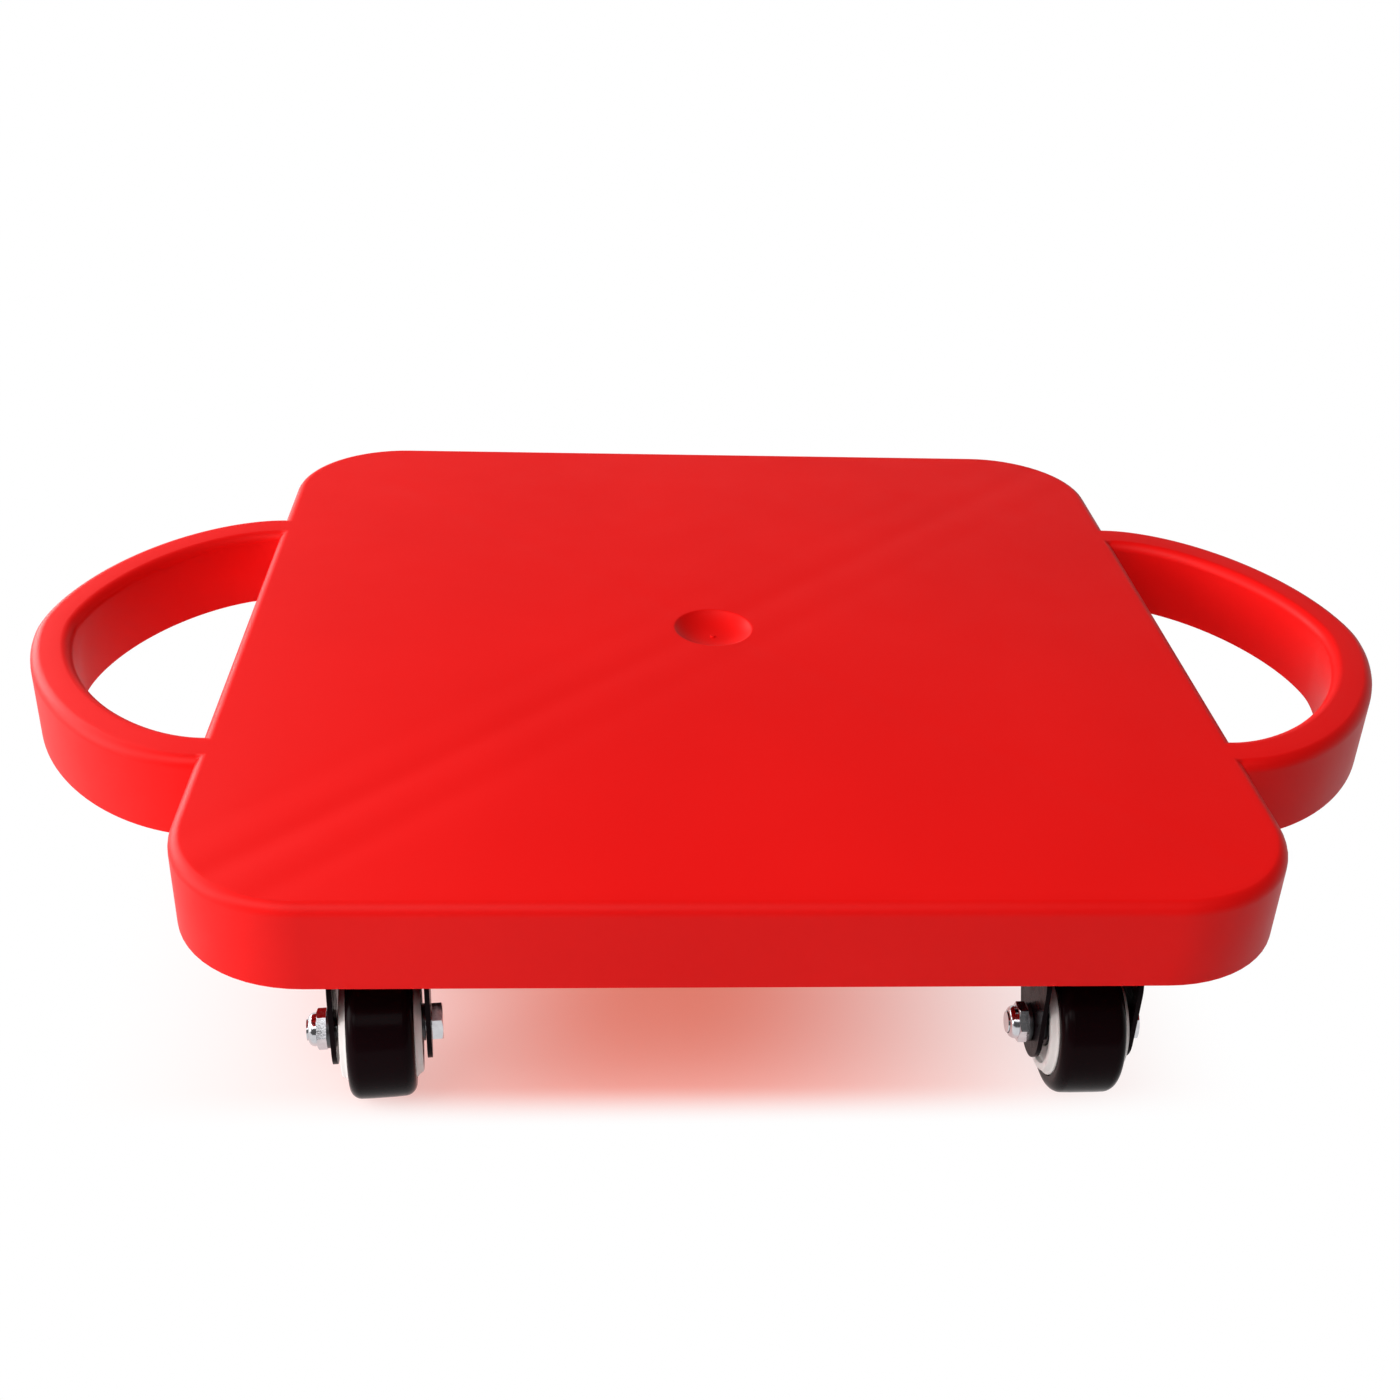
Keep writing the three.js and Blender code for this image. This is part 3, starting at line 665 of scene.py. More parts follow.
# %% Noise, colours and bumps
NOISE_MIDDLE = (0.3, 0.7)


def noise(tree, scale, detail=3.0, roughness=0.5):
    """Noise from 0 to 1 whose grains measure about one over the scale, in metres."""
    place = object_place(tree)
    node = add_node(
        tree, "ShaderNodeTexNoise", Vector=place, Scale=scale, Detail=detail, Roughness=roughness
    )
    return node.outputs["Fac"]


def remapped(tree, value, old_range, new_range, curve="LINEAR"):
    node = add_node(tree, "ShaderNodeMapRange", {"interpolation_type": curve}, Value=value)
    keys = ("From Min", "From Max", "To Min", "To Max")
    for key, number in zip(keys, (*old_range, *new_range)):
        node.inputs[key].default_value = number
    return node.outputs["Result"]


def spread(tree, value, low, high):
    """Maps the middle part of a noise onto a range."""
    return remapped(tree, value, NOISE_MIDDLE, (low, high))


def two_colours(tree, value, first, second):
    node = add_node(tree, "ShaderNodeMix", {"data_type": "RGBA"})
    tree.links.new(value, node.inputs["Factor"])
    node.inputs["A"].default_value = (*first, 1)
    node.inputs["B"].default_value = (*second, 1)
    return node.outputs["Result"]


def bump(tree, shader, height, depth):
    """Turns a height from 0 to 1 into a bump of a depth in metres."""
    node = add_node(tree, "ShaderNodeBump", None, Height=height, Distance=depth, Strength=1.0)
    tree.links.new(node.outputs["Normal"], shader.inputs["Normal"])


print("patterns ready")

# %% [markdown]
# ### Red plastic
# The deck is satin polyethylene. It isn't one red: the colour and the gloss drift slowly, the top
# is a little wavy, and the skin has a very fine grain. Over the ribs the plastic sank by up to a
# fifth of a millimetre. Each of these valleys is a bell curve across its rib, and noise lets it
# come and go.

# %% Red plastic
RED = (0.78, 0.0045, 0.004)
RED_PALER = (0.84, 0.006, 0.0053)
SINK_DEPTH = 0.2 * MM
SINK_WIDTH = 5 * MM
TOP_SKIN = 0.05 * MM
GRAIN_SHARE = 0.012
WAVE_SHARE = 0.08


def sink_valleys(tree):
    """Valleys along the front-left to rear-right ribs, and fainter ones along the others."""
    place = add_node(tree, "ShaderNodeSeparateXYZ", None, Vector=object_place(tree))
    x, y, z = place.outputs
    off_rising = math_node(tree, "MULTIPLY", math_node(tree, "SUBTRACT", x, y), math.sqrt(0.5))
    off_falling = math_node(tree, "MULTIPLY", math_node(tree, "ADD", x, y), math.sqrt(0.5))
    total = None
    valleys = [
        (off_rising, 0, 1.0),
        (off_rising, RIB_PITCH / 2, 0.6),
        (off_rising, -RIB_PITCH / 2, 0.35),
        (off_falling, 0, 0.3),
    ]
    for distance, offset, depth in valleys:
        share = math_node(tree, "DIVIDE", math_node(tree, "SUBTRACT", distance, offset), SINK_WIDTH)
        squared = math_node(tree, "MULTIPLY", share, share)
        bell = math_node(tree, "EXPONENT", math_node(tree, "MULTIPLY", squared, -1.0))
        valley = math_node(tree, "MULTIPLY", bell, -depth)
        total = valley if total is None else math_node(tree, "ADD", total, valley)
    strength = spread(tree, noise(tree, 14, 1), 0.55, 1.0)
    on_top = math_node(tree, "GREATER_THAN", z, DECK_TOP - TOP_SKIN)
    return math_node(tree, "MULTIPLY", math_node(tree, "MULTIPLY", total, strength), on_top)


def red_plastic():
    material, tree, shader = new_finish("red_plastic", RED, 0.4)
    colour = two_colours(tree, spread(tree, noise(tree, 9, 2), 0, 1), RED, RED_PALER)
    tree.links.new(colour, shader.inputs["Base Color"])
    tree.links.new(spread(tree, noise(tree, 60, 4), 0.44, 0.48), shader.inputs["Roughness"])
    grain = math_node(tree, "MULTIPLY", noise(tree, 2600, 2), GRAIN_SHARE)
    waves = math_node(tree, "MULTIPLY", noise(tree, 55, 2), WAVE_SHARE)
    height = math_node(tree, "ADD", math_node(tree, "ADD", grain, waves), sink_valleys(tree))
    bump(tree, shader, height, SINK_DEPTH)
    shader.inputs["Specular IOR Level"].default_value = 0.11
    return material


deck.data.materials.clear()
deck.data.materials.append(red_plastic())
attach(deck, "board")
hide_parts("deck")
print("red plastic ready")

# %% [markdown]
# ### Steel, tyre and core
# The fork is black enamelled sheet, a little wavy where the paint ran. Bolts and nuts are zinc
# plated: a bright metal with soft blotches. Washers, bearings and balls are darker steel. The tyre
# is a smooth, nearly black polyurethane with a soft sheen, and its core is satin white nylon. The
# faint red cast in the blacks of the fork and the tyre is painted: it stands in for the red light
# that the deck throws on them.

# %% The other finishes
def black_enamel():
    # The enamel's own colour is black; the faint red in it is painted red light from the deck above.
    material, tree, shader = new_finish("black_enamel", (0.006, 0.002, 0.003), 0.3)
    shader.inputs["Specular IOR Level"].default_value = 0.03
    tree.links.new(spread(tree, noise(tree, 220, 3), 0.2, 0.34), shader.inputs["Roughness"])
    bump(tree, shader, noise(tree, 700, 2), 0.02 * MM)
    return material


def zinc_plate():
    material, tree, shader = new_finish("zinc_plate", (0.58, 0.57, 0.6), 0.16, 1.0)
    colour = two_colours(tree, noise(tree, 500, 3), (0.48, 0.47, 0.5), (0.68, 0.68, 0.7))
    tree.links.new(colour, shader.inputs["Base Color"])
    tree.links.new(spread(tree, noise(tree, 900, 3), 0.08, 0.2), shader.inputs["Roughness"])
    bump(tree, shader, noise(tree, 1800, 2), 0.01 * MM)
    return material


def dark_steel():
    material, tree, shader = new_finish("dark_steel", (0.1, 0.1, 0.105), 0.35, 1.0)
    tree.links.new(spread(tree, noise(tree, 800, 3), 0.28, 0.45), shader.inputs["Roughness"])
    bump(tree, shader, noise(tree, 1500, 2), 0.01 * MM)
    return material


def black_tyre():
    # The tyre's own colour is nearly black; the faint red in it is painted red light, mirrored from the
    # deck and the floor's red shadow.
    material, tree, shader = new_finish("black_tyre", (0.007, 0.0022, 0.003), 0.16)
    shader.inputs["Specular IOR Level"].default_value = 0.03
    tree.links.new(spread(tree, noise(tree, 300, 4), 0.12, 0.24), shader.inputs["Roughness"])
    bump(tree, shader, noise(tree, 900, 3), 0.012 * MM)
    return material


def white_nylon():
    material, tree, shader = new_finish("white_nylon", (0.8, 0.77, 0.74), 0.38)
    colour = two_colours(tree, noise(tree, 120, 3), (0.76, 0.72, 0.69), (0.83, 0.8, 0.78))
    tree.links.new(colour, shader.inputs["Base Color"])
    bump(tree, shader, noise(tree, 1600, 2), 0.01 * MM)
    return material


ENAMEL = black_enamel()
ZINC = zinc_plate()
DARK_STEEL = dark_steel()
TYRE = black_tyre()
NYLON = white_nylon()
print("finishes:", len(bpy.data.materials))

# %% [markdown]
# ## The fork
# A fork is stamped flat and folded to an upturned U. Here a bar stands for the fold: its two upper
# edges are rounded, its open sides are deleted, and a solidify modifier gives the sheet its
# thickness.

# %% The folded sheet
SHEET = 1.4 * MM
FORK_GAP_HALF = 12.3 * MM
FORK_HALF = FORK_GAP_HALF + SHEET
FORK_BEND = 3.6 * MM
FORK_END_RADIUS = 10 * MM
CROWN_BOTTOM = 46.5 * MM
CROWN_TOP = CROWN_BOTTOM + SHEET


def is_fold(edge):
    middle = centre(edge)
    return near(middle.z, CROWN_TOP) and near(abs(middle.x), FORK_HALF)


def is_open_side(face):
    return abs(face.normal.y) > 0.9 or looks_down(face)


def folded_sheet():
    reach = TRAIL + FORK_END_RADIUS + OVERRUN
    low = (-FORK_HALF, -reach, WHEEL_RADIUS - FORK_END_RADIUS - OVERRUN)
    sheet = block("folded_sheet", low, (FORK_HALF, FORK_HALF + OVERRUN, CROWN_TOP))
    with editing(sheet):
        choose("EDGE", is_fold)
        bpy.ops.mesh.bevel(offset=FORK_BEND, segments=8, affect="EDGES")
        choose("FACE", is_open_side)
        bpy.ops.mesh.delete(type="FACE")
    thickness = sheet.modifiers.new("sheet", "SOLIDIFY")
    thickness.thickness = SHEET
    thickness.offset = -1
    thickness.use_even_offset = True
    select_only(sheet)
    bpy.ops.object.modifier_apply(modifier=thickness.name)
    return sheet


print("fork:", round(2 * FORK_HALF / MM, 1), "mm wide")

# %% [markdown]
# The leg's outline, seen from the side, is the hull round two cylinders and a block, like a string
# pulled tight round three pins. The crown's plan, seen from above, is round at the rear and open
# between the legs.

# %% Leg outline and crown plan
FORK_CORNER_RADIUS = 11 * MM
FORK_SHOULDER = 5 * MM
FORK_CROWN_FRONT = 5.7 * MM
FORK_CROWN_REAR = 14 * MM
FIT = 0.2 * MM


def lying_peg(name, radius, low, high, y=0, z=0, sides=64):
    """A bar along the axle, from one x to another."""
    bpy.ops.mesh.primitive_cylinder_add(vertices=sides, radius=radius, depth=high - low)
    bpy.context.object.rotation_euler = (0, math.pi / 2, 0)
    bpy.context.object.location = ((low + high) / 2, y, z)
    return named(name)


def leg_outline():
    half = FORK_HALF + OVERRUN
    corner_y = FORK_CORNER_RADIUS - TRAIL - FORK_END_RADIUS
    pins = [
        lying_peg("leg_outline", FORK_END_RADIUS, -half, half, -TRAIL, WHEEL_RADIUS),
        lying_peg("corner", FORK_CORNER_RADIUS, -half, half, corner_y, CROWN_TOP - FORK_CORNER_RADIUS),
        block(
            "shoulder",
            (-half, corner_y, CROWN_TOP - FORK_SHOULDER),
            (half, FORK_CROWN_FRONT, CROWN_TOP + FIT),
        ),
    ]
    select_only(*pins)
    bpy.ops.object.join()
    outline = bpy.context.object
    with editing(outline):
        bpy.ops.mesh.convex_hull()
    front = block("front", (-half, 0, CROWN_TOP - FORK_SHOULDER), (half, half, CROWN_TOP + OVERRUN))
    return combine(outline, front, "UNION")


def crown_plan():
    low = WHEEL_RADIUS - FORK_END_RADIUS - 2 * OVERRUN
    high = CROWN_TOP + 2 * OVERRUN
    half = FORK_HALF + FIT
    rear = -2 * (TRAIL + FORK_END_RADIUS)
    plan = peg("plan", half, low, high, sides=FINE_SIDES)
    combine(plan, block("legs", (-half, rear, low), (half, 0, high)), "UNION")
    notch_low = (-FORK_GAP_HALF, rear, low - OVERRUN)
    notch_high = (FORK_GAP_HALF, -FORK_CROWN_REAR, high + OVERRUN)
    return combine(plan, block("notch", notch_low, notch_high), "DIFFERENCE")


print("outlines ready")

# %% [markdown]
# What the fold, the outline and the plan all fill is the fork. A pressed lip runs round the balls,
# and the kingpin and the axle bolt get their holes.

# %% Fork
PLATE_BOTTOM = 52 * MM
LIP_RADIUS = 13 * MM
LIP_WALL = 1 * MM
KINGPIN_RADIUS = 3.5 * MM
AXLE_RADIUS = 3 * MM
GAP = 0.3 * MM
SHEET_ROUNDING = 0.2 * MM

fork = folded_sheet()
combine(fork, leg_outline(), "INTERSECT")
combine(fork, crown_plan(), "INTERSECT")
lip_top = PLATE_BOTTOM - 2 * GAP
lip = turned(
    "lip",
    [
        (LIP_RADIUS - LIP_WALL, CROWN_BOTTOM),
        (LIP_RADIUS, CROWN_BOTTOM),
        (LIP_RADIUS, lip_top),
        (LIP_RADIUS - LIP_WALL, lip_top),
    ],
    FINE_SIDES,
)
combine(fork, lip, "UNION")
bore_ends = (CROWN_BOTTOM - OVERRUN, CROWN_TOP + OVERRUN)
combine(fork, peg("bore", KINGPIN_RADIUS + GAP, *bore_ends), "DIFFERENCE")
fork_end = FORK_HALF + OVERRUN
axle_hole = lying_peg("axle_hole", AXLE_RADIUS + FIT, -fork_end, fork_end, -TRAIL, WHEEL_RADIUS, 32)
combine(fork, axle_hole, "DIFFERENCE")
round_edges(fork, SHEET_ROUNDING, angle=50)
smooth(fork)
fit_to_casters(fork, "folded_fork", "swivel", "fork", ENAMEL)

# %% [markdown]
# ## Plate and rivet
# The plate is stamped too, with a cup in its middle that takes the head of the rivet.

# %% Plate
PLATE_SIZE = 42 * MM
PLATE_RADIUS = 5 * MM
PLATE_THICKNESS = 2 * MM
CUP_RADIUS = 7.6 * MM
CUP_BOTTOM = 50.6 * MM
RECESS_DEPTH = 2 * MM
HEAD_RADIUS = 6 * MM
ROUNDING = 0.3 * MM

plate_top = PLATE_BOTTOM + PLATE_THICKNESS
plate = slab("plate", PLATE_SIZE, PLATE_RADIUS, PLATE_BOTTOM, plate_top)
combine(plate, peg("cup", CUP_RADIUS, CUP_BOTTOM, plate_top, sides=64), "UNION")
head_bottom = plate_top - RECESS_DEPTH
recess = peg("recess", HEAD_RADIUS + FIT, head_bottom, plate_top + OVERRUN, sides=64)
combine(plate, recess, "DIFFERENCE")
combine(plate, peg("bore", KINGPIN_RADIUS + FIT, CUP_BOTTOM - OVERRUN, plate_top), "DIFFERENCE")
for place in screw_places():
    hole = peg("hole", SCREW_RADIUS + 2 * FIT, PLATE_BOTTOM - OVERRUN, plate_top + OVERRUN, place)
    combine(plate, hole, "DIFFERENCE")
round_edges(plate, ROUNDING)
smooth(plate)
fit_to_casters(plate, "stamped_plate", "board", "mounting_plate", ENAMEL)

# %% [markdown]
# Below the crown the rivet has a race, which carries the fork when the board is lifted, and a tail
# that was hammered wide.

# %% Rivet
HEAD_HEIGHT = 1.7 * MM
RACE_RADIUS = 6.6 * MM
RACE_HEIGHT = 2.2 * MM
TAIL_RADIUS = 4.6 * MM
TAIL_END_RADIUS = 0.7 * TAIL_RADIUS
TAIL_HEIGHT = 1.4 * MM

race_top = CROWN_BOTTOM - GAP
race_bottom = race_top - RACE_HEIGHT
rivet = turned(
    "rivet",
    [
        (0, race_bottom - TAIL_HEIGHT),
        (TAIL_END_RADIUS, race_bottom - TAIL_HEIGHT),
        (TAIL_RADIUS, race_bottom - TAIL_HEIGHT / 2),
        (TAIL_RADIUS, race_bottom),
        (RACE_RADIUS, race_bottom),
        (RACE_RADIUS, race_top),
        (KINGPIN_RADIUS, race_top),
        (KINGPIN_RADIUS, head_bottom),
        (HEAD_RADIUS, head_bottom),
        (HEAD_RADIUS, head_bottom + HEAD_HEIGHT),
        (0, head_bottom + HEAD_HEIGHT),
    ],
)
round_edges(rivet, ROUNDING)
smooth(rivet)
fit_to_casters(rivet, "rivet", "board", "kingpin", ZINC)

# %% [markdown]
# ## The wheel
# A polyurethane tyre is cast round a nylon core, whose rim stands out past it on both sides. Both
# are turned shapes. The tyre is turned as a square ring, and a wide bevel rounds its shoulders.

# %% Tyre
TYRE_HALF = 9.2 * MM
TYRE_SHOULDER = 3.2 * MM
TYRE_CROWN = 0.2 * MM
TYRE_SIDES = 128
CORE_RADIUS = 15 * MM


def mirrored(half):
    """An outline for both ends of the axle: the points of one end, and the same for the other."""
    return half + [(radius, -place) for radius, place in reversed(half)]


def is_ring(edge, radius):
    """Whether an edge is part of a ring round the axle, at a radius."""
    ends = edge.verts
    return all(near(end.co.yz.length, radius) for end in ends) and near(ends[0].co.x, ends[1].co.x)


tyre_shape = [
    (CORE_RADIUS + GAP, TYRE_HALF),
    (WHEEL_RADIUS - TYRE_CROWN, TYRE_HALF),
    (WHEEL_RADIUS, TYRE_HALF / 3),
]
tyre = turned("tyre", mirrored(tyre_shape), TYRE_SIDES, axle=True)
with editing(tyre):
    choose("EDGE", lambda edge: is_ring(edge, WHEEL_RADIUS - TYRE_CROWN))
    bpy.ops.mesh.bevel(offset=TYRE_SHOULDER, segments=12, affect="EDGES")
smooth(tyre, angle=50)
tyre.data.transform(AXLE)
fit_to_casters(tyre, "cast_tyre", "wheel", "tyre", TYRE)

# %% [markdown]
# The core's outline has a raised rim at each end and a deep seat for a bearing.

# %% Core
CORE_HALF = 11.2 * MM
CORE_RIM = 3.4 * MM
CORE_TAPER = 1.5 * MM
CORE_STEP = 0.6 * MM
CORE_RECESS = 1.6 * MM
BEARING_RADIUS = 6.5 * MM
BEARING_WIDTH = 5 * MM
INNER_RING = 5.2 * MM

face = CORE_HALF - CORE_RECESS
bearing_end = face + GAP
seat_end = bearing_end - BEARING_WIDTH - GAP
core_shape = [
    (INNER_RING - GAP, seat_end),
    (BEARING_RADIUS + GAP, seat_end),
    (BEARING_RADIUS + GAP, face),
    (CORE_RADIUS - CORE_RIM, face),
    (CORE_RADIUS - CORE_RIM, CORE_HALF),
    (CORE_RADIUS - CORE_TAPER, CORE_HALF),
    (CORE_RADIUS - CORE_STEP, TYRE_HALF + CORE_STEP),
    (CORE_RADIUS, TYRE_HALF + CORE_STEP / 2),
]
core = turned("core", mirrored(core_shape), FINE_SIDES, axle=True)
round_edges(core, ROUNDING, 3)
smooth(core)
core.data.transform(AXLE)
fit_to_casters(core, "nylon_core", "wheel", "wheel_core", NYLON)

# %% [markdown]
# A ball bearing sits in each side of the core. From outside it shows three rings: the outer ring,
# a shield set back a little, and the inner ring, which reaches out to the fork. So one turned
# outline with a step for the shield is enough.

# %% Bearings
SHIELD_DEPTH = 0.4 * MM
OUTER_RING_WALL = 0.5 * MM
BEARING_ROUNDING = 0.12 * MM

bore = AXLE_RADIUS + GAP
bearing_start = bearing_end - BEARING_WIDTH
shield = bearing_end - SHIELD_DEPTH
bearing_shape = [
    (bore, bearing_start),
    (BEARING_RADIUS, bearing_start),
    (BEARING_RADIUS, bearing_end),
    (BEARING_RADIUS - OUTER_RING_WALL, bearing_end),
    (BEARING_RADIUS - OUTER_RING_WALL, shield),
    (INNER_RING, shield),
    (INNER_RING, FORK_GAP_HALF - GAP),
    (bore, FORK_GAP_HALF - GAP),
]
for side, turn in (("right", 0), ("left", math.pi)):
    node = "bearing_" + side
    bearing = turned(node, bearing_shape, axle=True)
    round_edges(bearing, BEARING_ROUNDING)
    smooth(bearing)
    bearing.data.transform(AXLE @ Matrix.Rotation(turn, 4, "Z"))
    fit_to_casters(bearing, "ball_" + node, "wheel", node, DARK_STEEL)

# %% [markdown]
# ## Bolt, nut and screws
# A six-sided head gets its curved chamfers from a lathe: the corners are turned off with a flat
# cone. So a prism with six sides is made, and only what lies inside a turned cone is kept. Head
# and nut each stopped turning at an angle of their own when they were tightened, as the photograph
# shows.

# %% Axle bolt
HEX_FLATS = 10 * MM
HEX_CHAMFER = 0.6 * MM
HEAD_LENGTH = 3 * MM
WASHER_WIDTH = 1.2 * MM
NUT_LENGTH = 2.7 * MM
COLLAR_LENGTH = 2.4 * MM
BOLT_END = 0.4 * MM
HEAD_TURN = math.radians(19)
FINE_ROUNDING = 0.15 * MM

hex_radius = HEX_FLATS / 2 / math.cos(math.pi / 6)
seat = FORK_HALF + FIT


def chamfered_hexagon(name, low, high):
    """A prism with six sides, whose corners are turned off at its high end."""
    prism = lying_peg(name, hex_radius, low, high, sides=6)
    cone = turned(
        "cone",
        [
            (0, low - OVERRUN),
            (hex_radius + HEX_CHAMFER, low - OVERRUN),
            (hex_radius + HEX_CHAMFER, high - HEX_CHAMFER),
            (hex_radius - 2 * HEX_CHAMFER, high + FIT),
            (0, high + FIT),
        ],
        axle=True,
    )
    return combine(prism, cone, "INTERSECT")


nut_seat = seat + WASHER_WIDTH
nut_end = nut_seat + NUT_LENGTH + COLLAR_LENGTH
bolt = chamfered_hexagon("bolt", seat, seat + HEAD_LENGTH)
shank = lying_peg("shank", AXLE_RADIUS, -nut_end - BOLT_END, seat + HEAD_LENGTH / 2, sides=48)
combine(bolt, shank, "UNION")
round_edges(bolt, FINE_ROUNDING)
smooth(bolt)
bolt.data.transform(AXLE @ Matrix.Rotation(HEAD_TURN, 4, "X"))
fit_to_casters(bolt, "hexagon_bolt", "swivel", "axle_bolt", ZINC)

# %% [markdown]
# The lock nut ends in a round collar that grips the bolt, and a dark washer lies below it. Both
# are made on the right, as the head is, and turned to the left side.

# %% Lock nut and washer
COLLAR_RADIUS = 4.7 * MM
COLLAR_ROUNDING = 0.75 * COLLAR_LENGTH
WASHER_RADIUS = 5.5 * MM
NUT_TURN = math.radians(-11)

nut = chamfered_hexagon("nut", nut_seat, nut_seat + NUT_LENGTH)
collar = turned(
    "collar",
    [
        (0, nut_seat + NUT_LENGTH / 2),
        (COLLAR_RADIUS, nut_seat + NUT_LENGTH / 2),
        (COLLAR_RADIUS, nut_end),
        (0, nut_end),
    ],
    axle=True,
)
with editing(collar):
    choose("EDGE", lambda edge: is_ring(edge, COLLAR_RADIUS) and near(centre(edge).x, nut_end))
    bpy.ops.mesh.bevel(offset=COLLAR_ROUNDING, segments=6, affect="EDGES")
combine(nut, collar, "UNION")
nut_bore = lying_peg("bore", AXLE_RADIUS + FIT, seat - OVERRUN, nut_end + OVERRUN, sides=48)
combine(nut, nut_bore, "DIFFERENCE", keep_other=True)
round_edges(nut, FINE_ROUNDING)
smooth(nut)
to_left = Matrix.Rotation(math.pi, 4, "Z")
nut.data.transform(AXLE @ Matrix.Rotation(NUT_TURN, 4, "X") @ to_left)
fit_to_casters(nut, "lock_nut", "swivel", "axle_nut", ZINC)

washer = lying_peg("washer", WASHER_RADIUS, seat, nut_seat, sides=48)
combine(washer, nut_bore, "DIFFERENCE")
round_edges(washer, FINE_ROUNDING)
smooth(washer)
washer.data.transform(AXLE @ to_left)
fit_to_casters(washer, "washer", "swivel", None, DARK_STEEL)

# %% [markdown]
# Four screws hold each plate to its pad. A head is a low dome, so its outline has only a few
# points, and two thin bars cut the crossed slot. The four of a plate stopped at angles of their
# own, so each is turned by its number, in radians.

# %% Mounting screws
SCREW_HEAD_RADIUS = 3.6 * MM
SCREW_HEAD_HEIGHT = 1.9 * MM
SCREW_SHANK_RADIUS = 1.7 * MM
SLOT_WIDTH = 0.9 * MM
SLOT_LENGTH = 3.8 * MM
SLOT_DEPTH = 1.1 * MM
DOME = [(0, 0), (0.6, 0.08), (0.85, 0.3), (1, 0.7)]

screw_low = PLATE_BOTTOM - SCREW_HEAD_HEIGHT
screw_tip = DECK_BOTTOM + SCREW_DEPTH - OVERRUN
screw_head = [(out * SCREW_HEAD_RADIUS, screw_low + up * SCREW_HEAD_HEIGHT) for out, up in DOME]
screw_shank = [
    (SCREW_HEAD_RADIUS, PLATE_BOTTOM),
    (SCREW_SHANK_RADIUS, PLATE_BOTTOM),
    (SCREW_SHANK_RADIUS, screw_tip),
    (0, screw_tip),
]
screw = turned("screw", screw_head + screw_shank, 32)
for half_x, half_y in ((SLOT_LENGTH / 2, SLOT_WIDTH / 2), (SLOT_WIDTH / 2, SLOT_LENGTH / 2)):
    slot_low = (-half_x, -half_y, screw_low - OVERRUN)
    combine(screw, block("slot", slot_low, (half_x, half_y, screw_low + SLOT_DEPTH)), "DIFFERENCE")
smooth(screw, angle=40)
for number, (x, y) in enumerate(screw_places(), 1):
    placed = copied(screw, "screw", Matrix.Translation((x, y, 0)) @ Matrix.Rotation(number, 4, "Z"))
    fit_to_casters(placed, f"screw_{number}", "board", None, ZINC)
bpy.data.objects.remove(screw)

# %% [markdown]
# The ring of swivel balls keeps its solid from the model: only a thin line of it shows, between
# the fork's lip and the plate. It gets the dark steel of the bearings.

# %% Swivel balls
for caster in CASTERS:
    ring = frame["nodes"][caster + "_swivel_ball_ring"]
    ring.data.materials.clear()
    ring.data.materials.append(DARK_STEEL)
print("rings finished:", len(CASTERS))

# %% [markdown]
# ## Floor and light
# The photograph has no horizon: its floor is white up to the edge of the picture, and only the
# shadow below the deck is left, soft at its sides and tinted by the red light that the deck throws
# back. So the camera, and whatever mirrors the floor, sees it as plain white, and inside a soft
# oblong below the deck sees half of the real shadow with a painted red glow added to it. The
# oblong's soft edge paints where that shadow fades out. Light that bounces off the floor meets
# plain white paint. The plane is clear from below.

# %% Floor
FLOOR_SIZE = 12.0
# The soft oblong in which the shadow shows; its edge paints where the shadow fades out.
SHADOW_MIDDLE_X = -18 * MM
SHADOW_SIDES = (5 * MM, 175 * MM)
SHADOW_ENDS = (130 * MM, 147 * MM)
# A painted red glow: an emission added inside the oblong, standing in for red light thrown back by the
# deck.
PAINTED_RED_GLOW = (0.64, 0.17, 0.12)
WHITE_PAINT = (0.92, 0.92, 0.92, 1)
SHADOW_PAINT = (0.46, 0.46, 0.46, 1)


def soft_edge(tree, value, inner, outer):
    """1 up to an inner distance, 0 from an outer one, and a smooth fall between them."""
    distance = math_node(tree, "ABSOLUTE", value)
    return remapped(tree, distance, (inner, outer), (1, 0), "SMOOTHSTEP")


def mixed(tree, share, first, second):
    first, second = first.outputs[0], second.outputs[0]
    return add_node(tree, "ShaderNodeMixShader", None, i0=share, i1=first, i2=second)


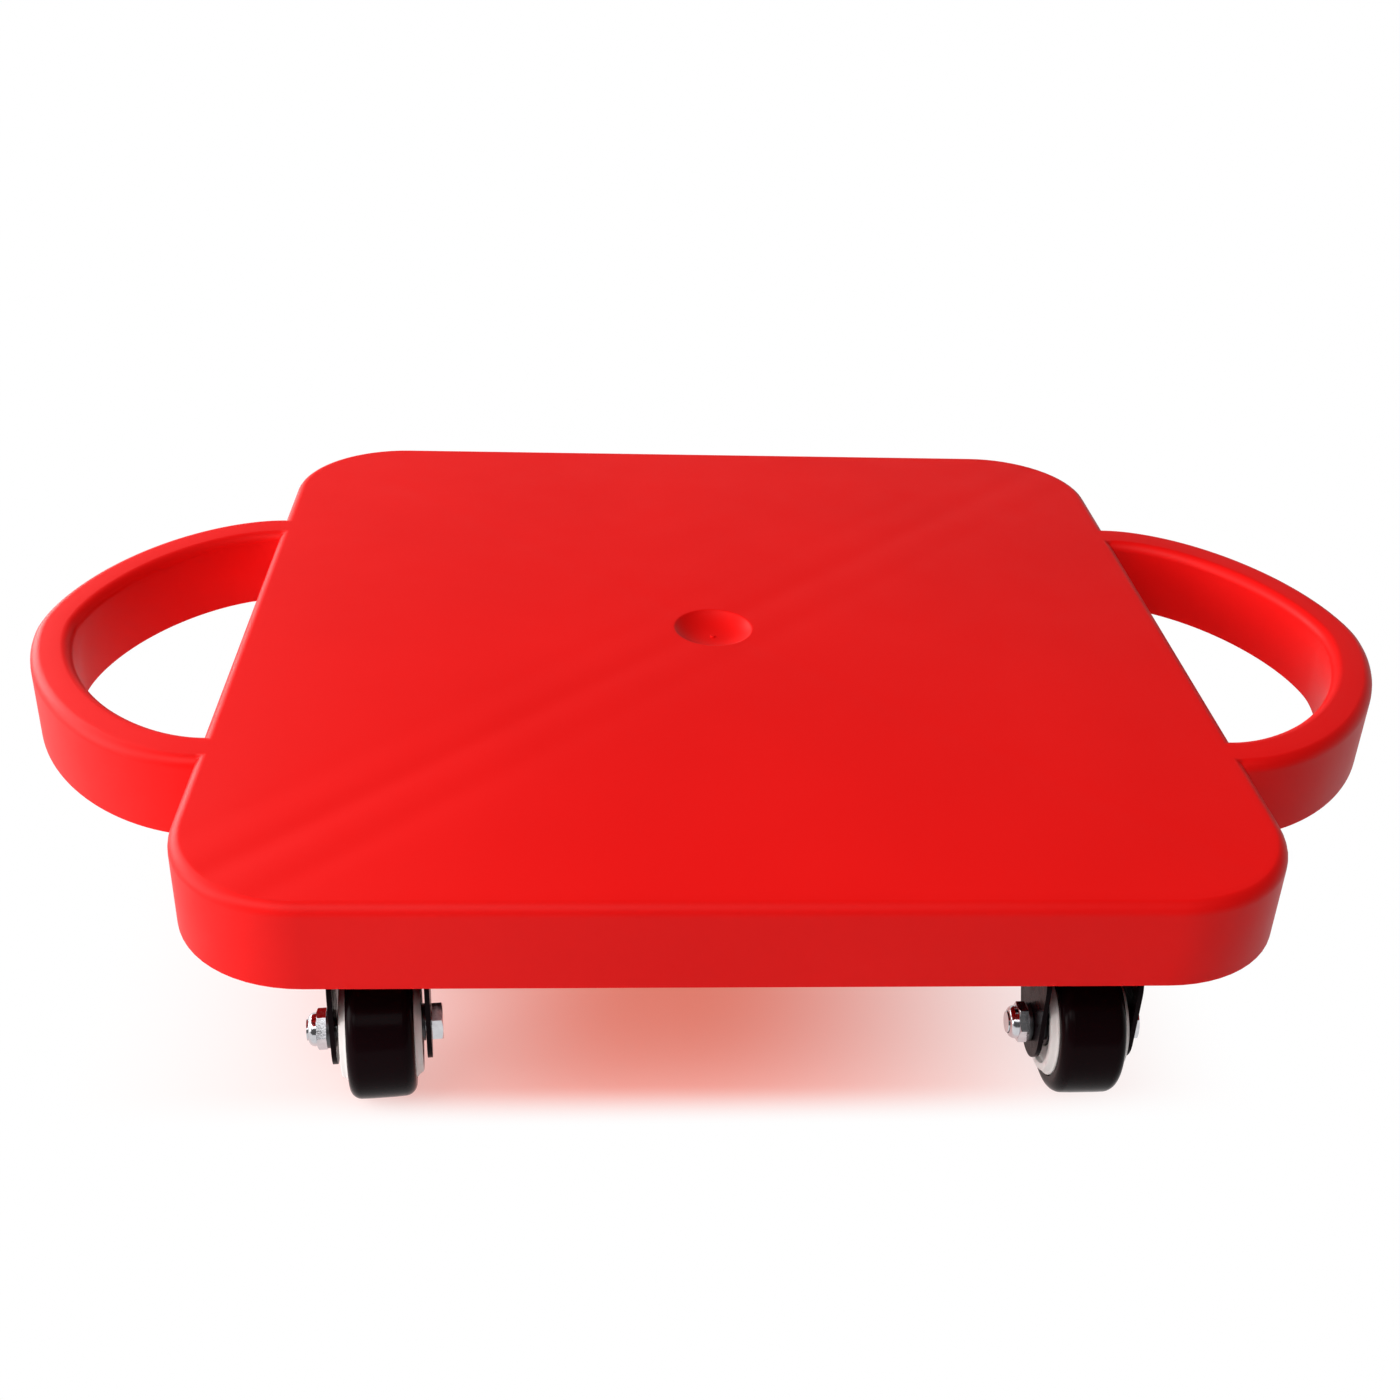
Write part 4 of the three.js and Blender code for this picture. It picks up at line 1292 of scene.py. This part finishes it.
def white_floor():
    material = bpy.data.materials.new("white_floor")
    material.use_nodes = True
    tree = material.node_tree
    tree.nodes.clear()
    place = add_node(tree, "ShaderNodeSeparateXYZ", None, Vector=object_place(tree)).outputs
    sides = soft_edge(tree, math_node(tree, "SUBTRACT", place["X"], SHADOW_MIDDLE_X), *SHADOW_SIDES)
    shadow = math_node(tree, "MULTIPLY", sides, soft_edge(tree, place["Y"], *SHADOW_ENDS))
    paint = add_node(tree, "ShaderNodeBsdfDiffuse", None, Color=WHITE_PAINT)
    shaded = add_node(tree, "ShaderNodeBsdfDiffuse", None, Color=SHADOW_PAINT)
    # Inside the oblong the camera sees half of the real shading, with the painted red glow added on
    # top.
    painted_glow = add_node(tree, "ShaderNodeEmission", None, Color=(*PAINTED_RED_GLOW, 1), Strength=1)
    shade_with_painted_glow = add_node(tree, "ShaderNodeAddShader", None, i0=shaded.outputs[0], i1=painted_glow.outputs[0])
    white = add_node(tree, "ShaderNodeEmission", None, Strength=1)
    seen = mixed(tree, shadow, white, shade_with_painted_glow)
    rays = add_node(tree, "ShaderNodeLightPath").outputs
    looks = math_node(tree, "MAXIMUM", rays["Is Camera Ray"], rays["Is Glossy Ray"])
    looks = math_node(tree, "MAXIMUM", looks, rays["Is Transmission Ray"])
    above = mixed(tree, looks, paint, seen)
    clear = add_node(tree, "ShaderNodeBsdfTransparent")
    below = add_node(tree, "ShaderNodeNewGeometry").outputs["Backfacing"]
    faces = mixed(tree, below, above, clear)
    output = add_node(tree, "ShaderNodeOutputMaterial")
    tree.links.new(faces.outputs[0], output.inputs["Surface"])
    return material


bpy.ops.mesh.primitive_plane_add(size=FLOOR_SIZE)
floor = named("floor")
floor.data.materials.append(white_floor())
print("floor:", FLOOR_SIZE, "m")

# %% [markdown]
# The light comes mostly from the left: the left loop's outer wall is the brightest part of the
# photograph and the right one is dark. Two low lamps on the left light the walls, two high ones
# light the top, and the strongest stands low behind the board and gives the top its sheen. Each
# row holds a lamp's name, its place and width in metres, and its power in watts.

# %% Lamps
LAMPS = [
    ("left_lamp", (-1.3, -0.1, 0.45), 0.9, 12.2),
    ("near_left_lamp", (-0.8, -0.4, 0.35), 0.5, 0.9),
    ("high_left_lamp", (-0.8, -0.6, 1.2), 0.9, 10.9),
    ("high_front_lamp", (-0.2, -0.8, 1.4), 1.2, 8.6),
    ("back_left_lamp", (-1.2, 1.0, 0.5), 0.9, 20.7),
]
AIM = Vector((0, 0, 60 * MM))

for name, place, size, watts in LAMPS:
    lamp_data = bpy.data.lights.new(name, "AREA")
    lamp_data.size = size
    lamp_data.energy = watts
    lamp = bpy.data.objects.new(name, lamp_data)
    lamp.location = place
    lamp.rotation_euler = (AIM - Vector(place)).to_track_quat("-Z", "Y").to_euler()
    bpy.context.scene.collection.objects.link(lamp)
print("lamps:", len(LAMPS))

# %% [markdown]
# The world itself lights nothing. The camera sees it as plain white, and shiny parts mirror it as
# white near the horizon. Higher up and on the camera's side they mirror it dim, as a room is
# around a white table, so that the bolts get dark sides too.

# %% World
SKY_HEIGHTS = (0.1, 0.5)
SKY_FRONT = (0.1, 0.6)
SKY_DIM = 0.12

world = bpy.data.worlds.new("white_world")
bpy.context.scene.world = world
world.use_nodes = True
tree = world.node_tree
background = tree.nodes["Background"]
direction = add_node(tree, "ShaderNodeTexCoord").outputs["Generated"]
_, rearward, height = add_node(tree, "ShaderNodeSeparateXYZ", None, Vector=direction).outputs
forward = math_node(tree, "MAXIMUM", math_node(tree, "MULTIPLY", rearward, -1.0), 0.0)
near_horizon = soft_edge(tree, height, *SKY_HEIGHTS)
whiteness = math_node(tree, "MULTIPLY", near_horizon, soft_edge(tree, forward, *SKY_FRONT))
whiteness = math_node(tree, "MAXIMUM", whiteness, SKY_DIM)
rays = add_node(tree, "ShaderNodeLightPath").outputs
mirrored_rays = math_node(tree, "MAXIMUM", rays["Is Glossy Ray"], rays["Is Transmission Ray"])
mirrored_rays = math_node(tree, "MULTIPLY", mirrored_rays, whiteness)
shown = math_node(tree, "MAXIMUM", rays["Is Camera Ray"], mirrored_rays)
tree.links.new(shown, background.inputs["Strength"])
background.inputs["Color"].default_value = (1, 1, 1, 1)
bpy.context.scene.view_settings.view_transform = "Standard"
print("world:", world.name)
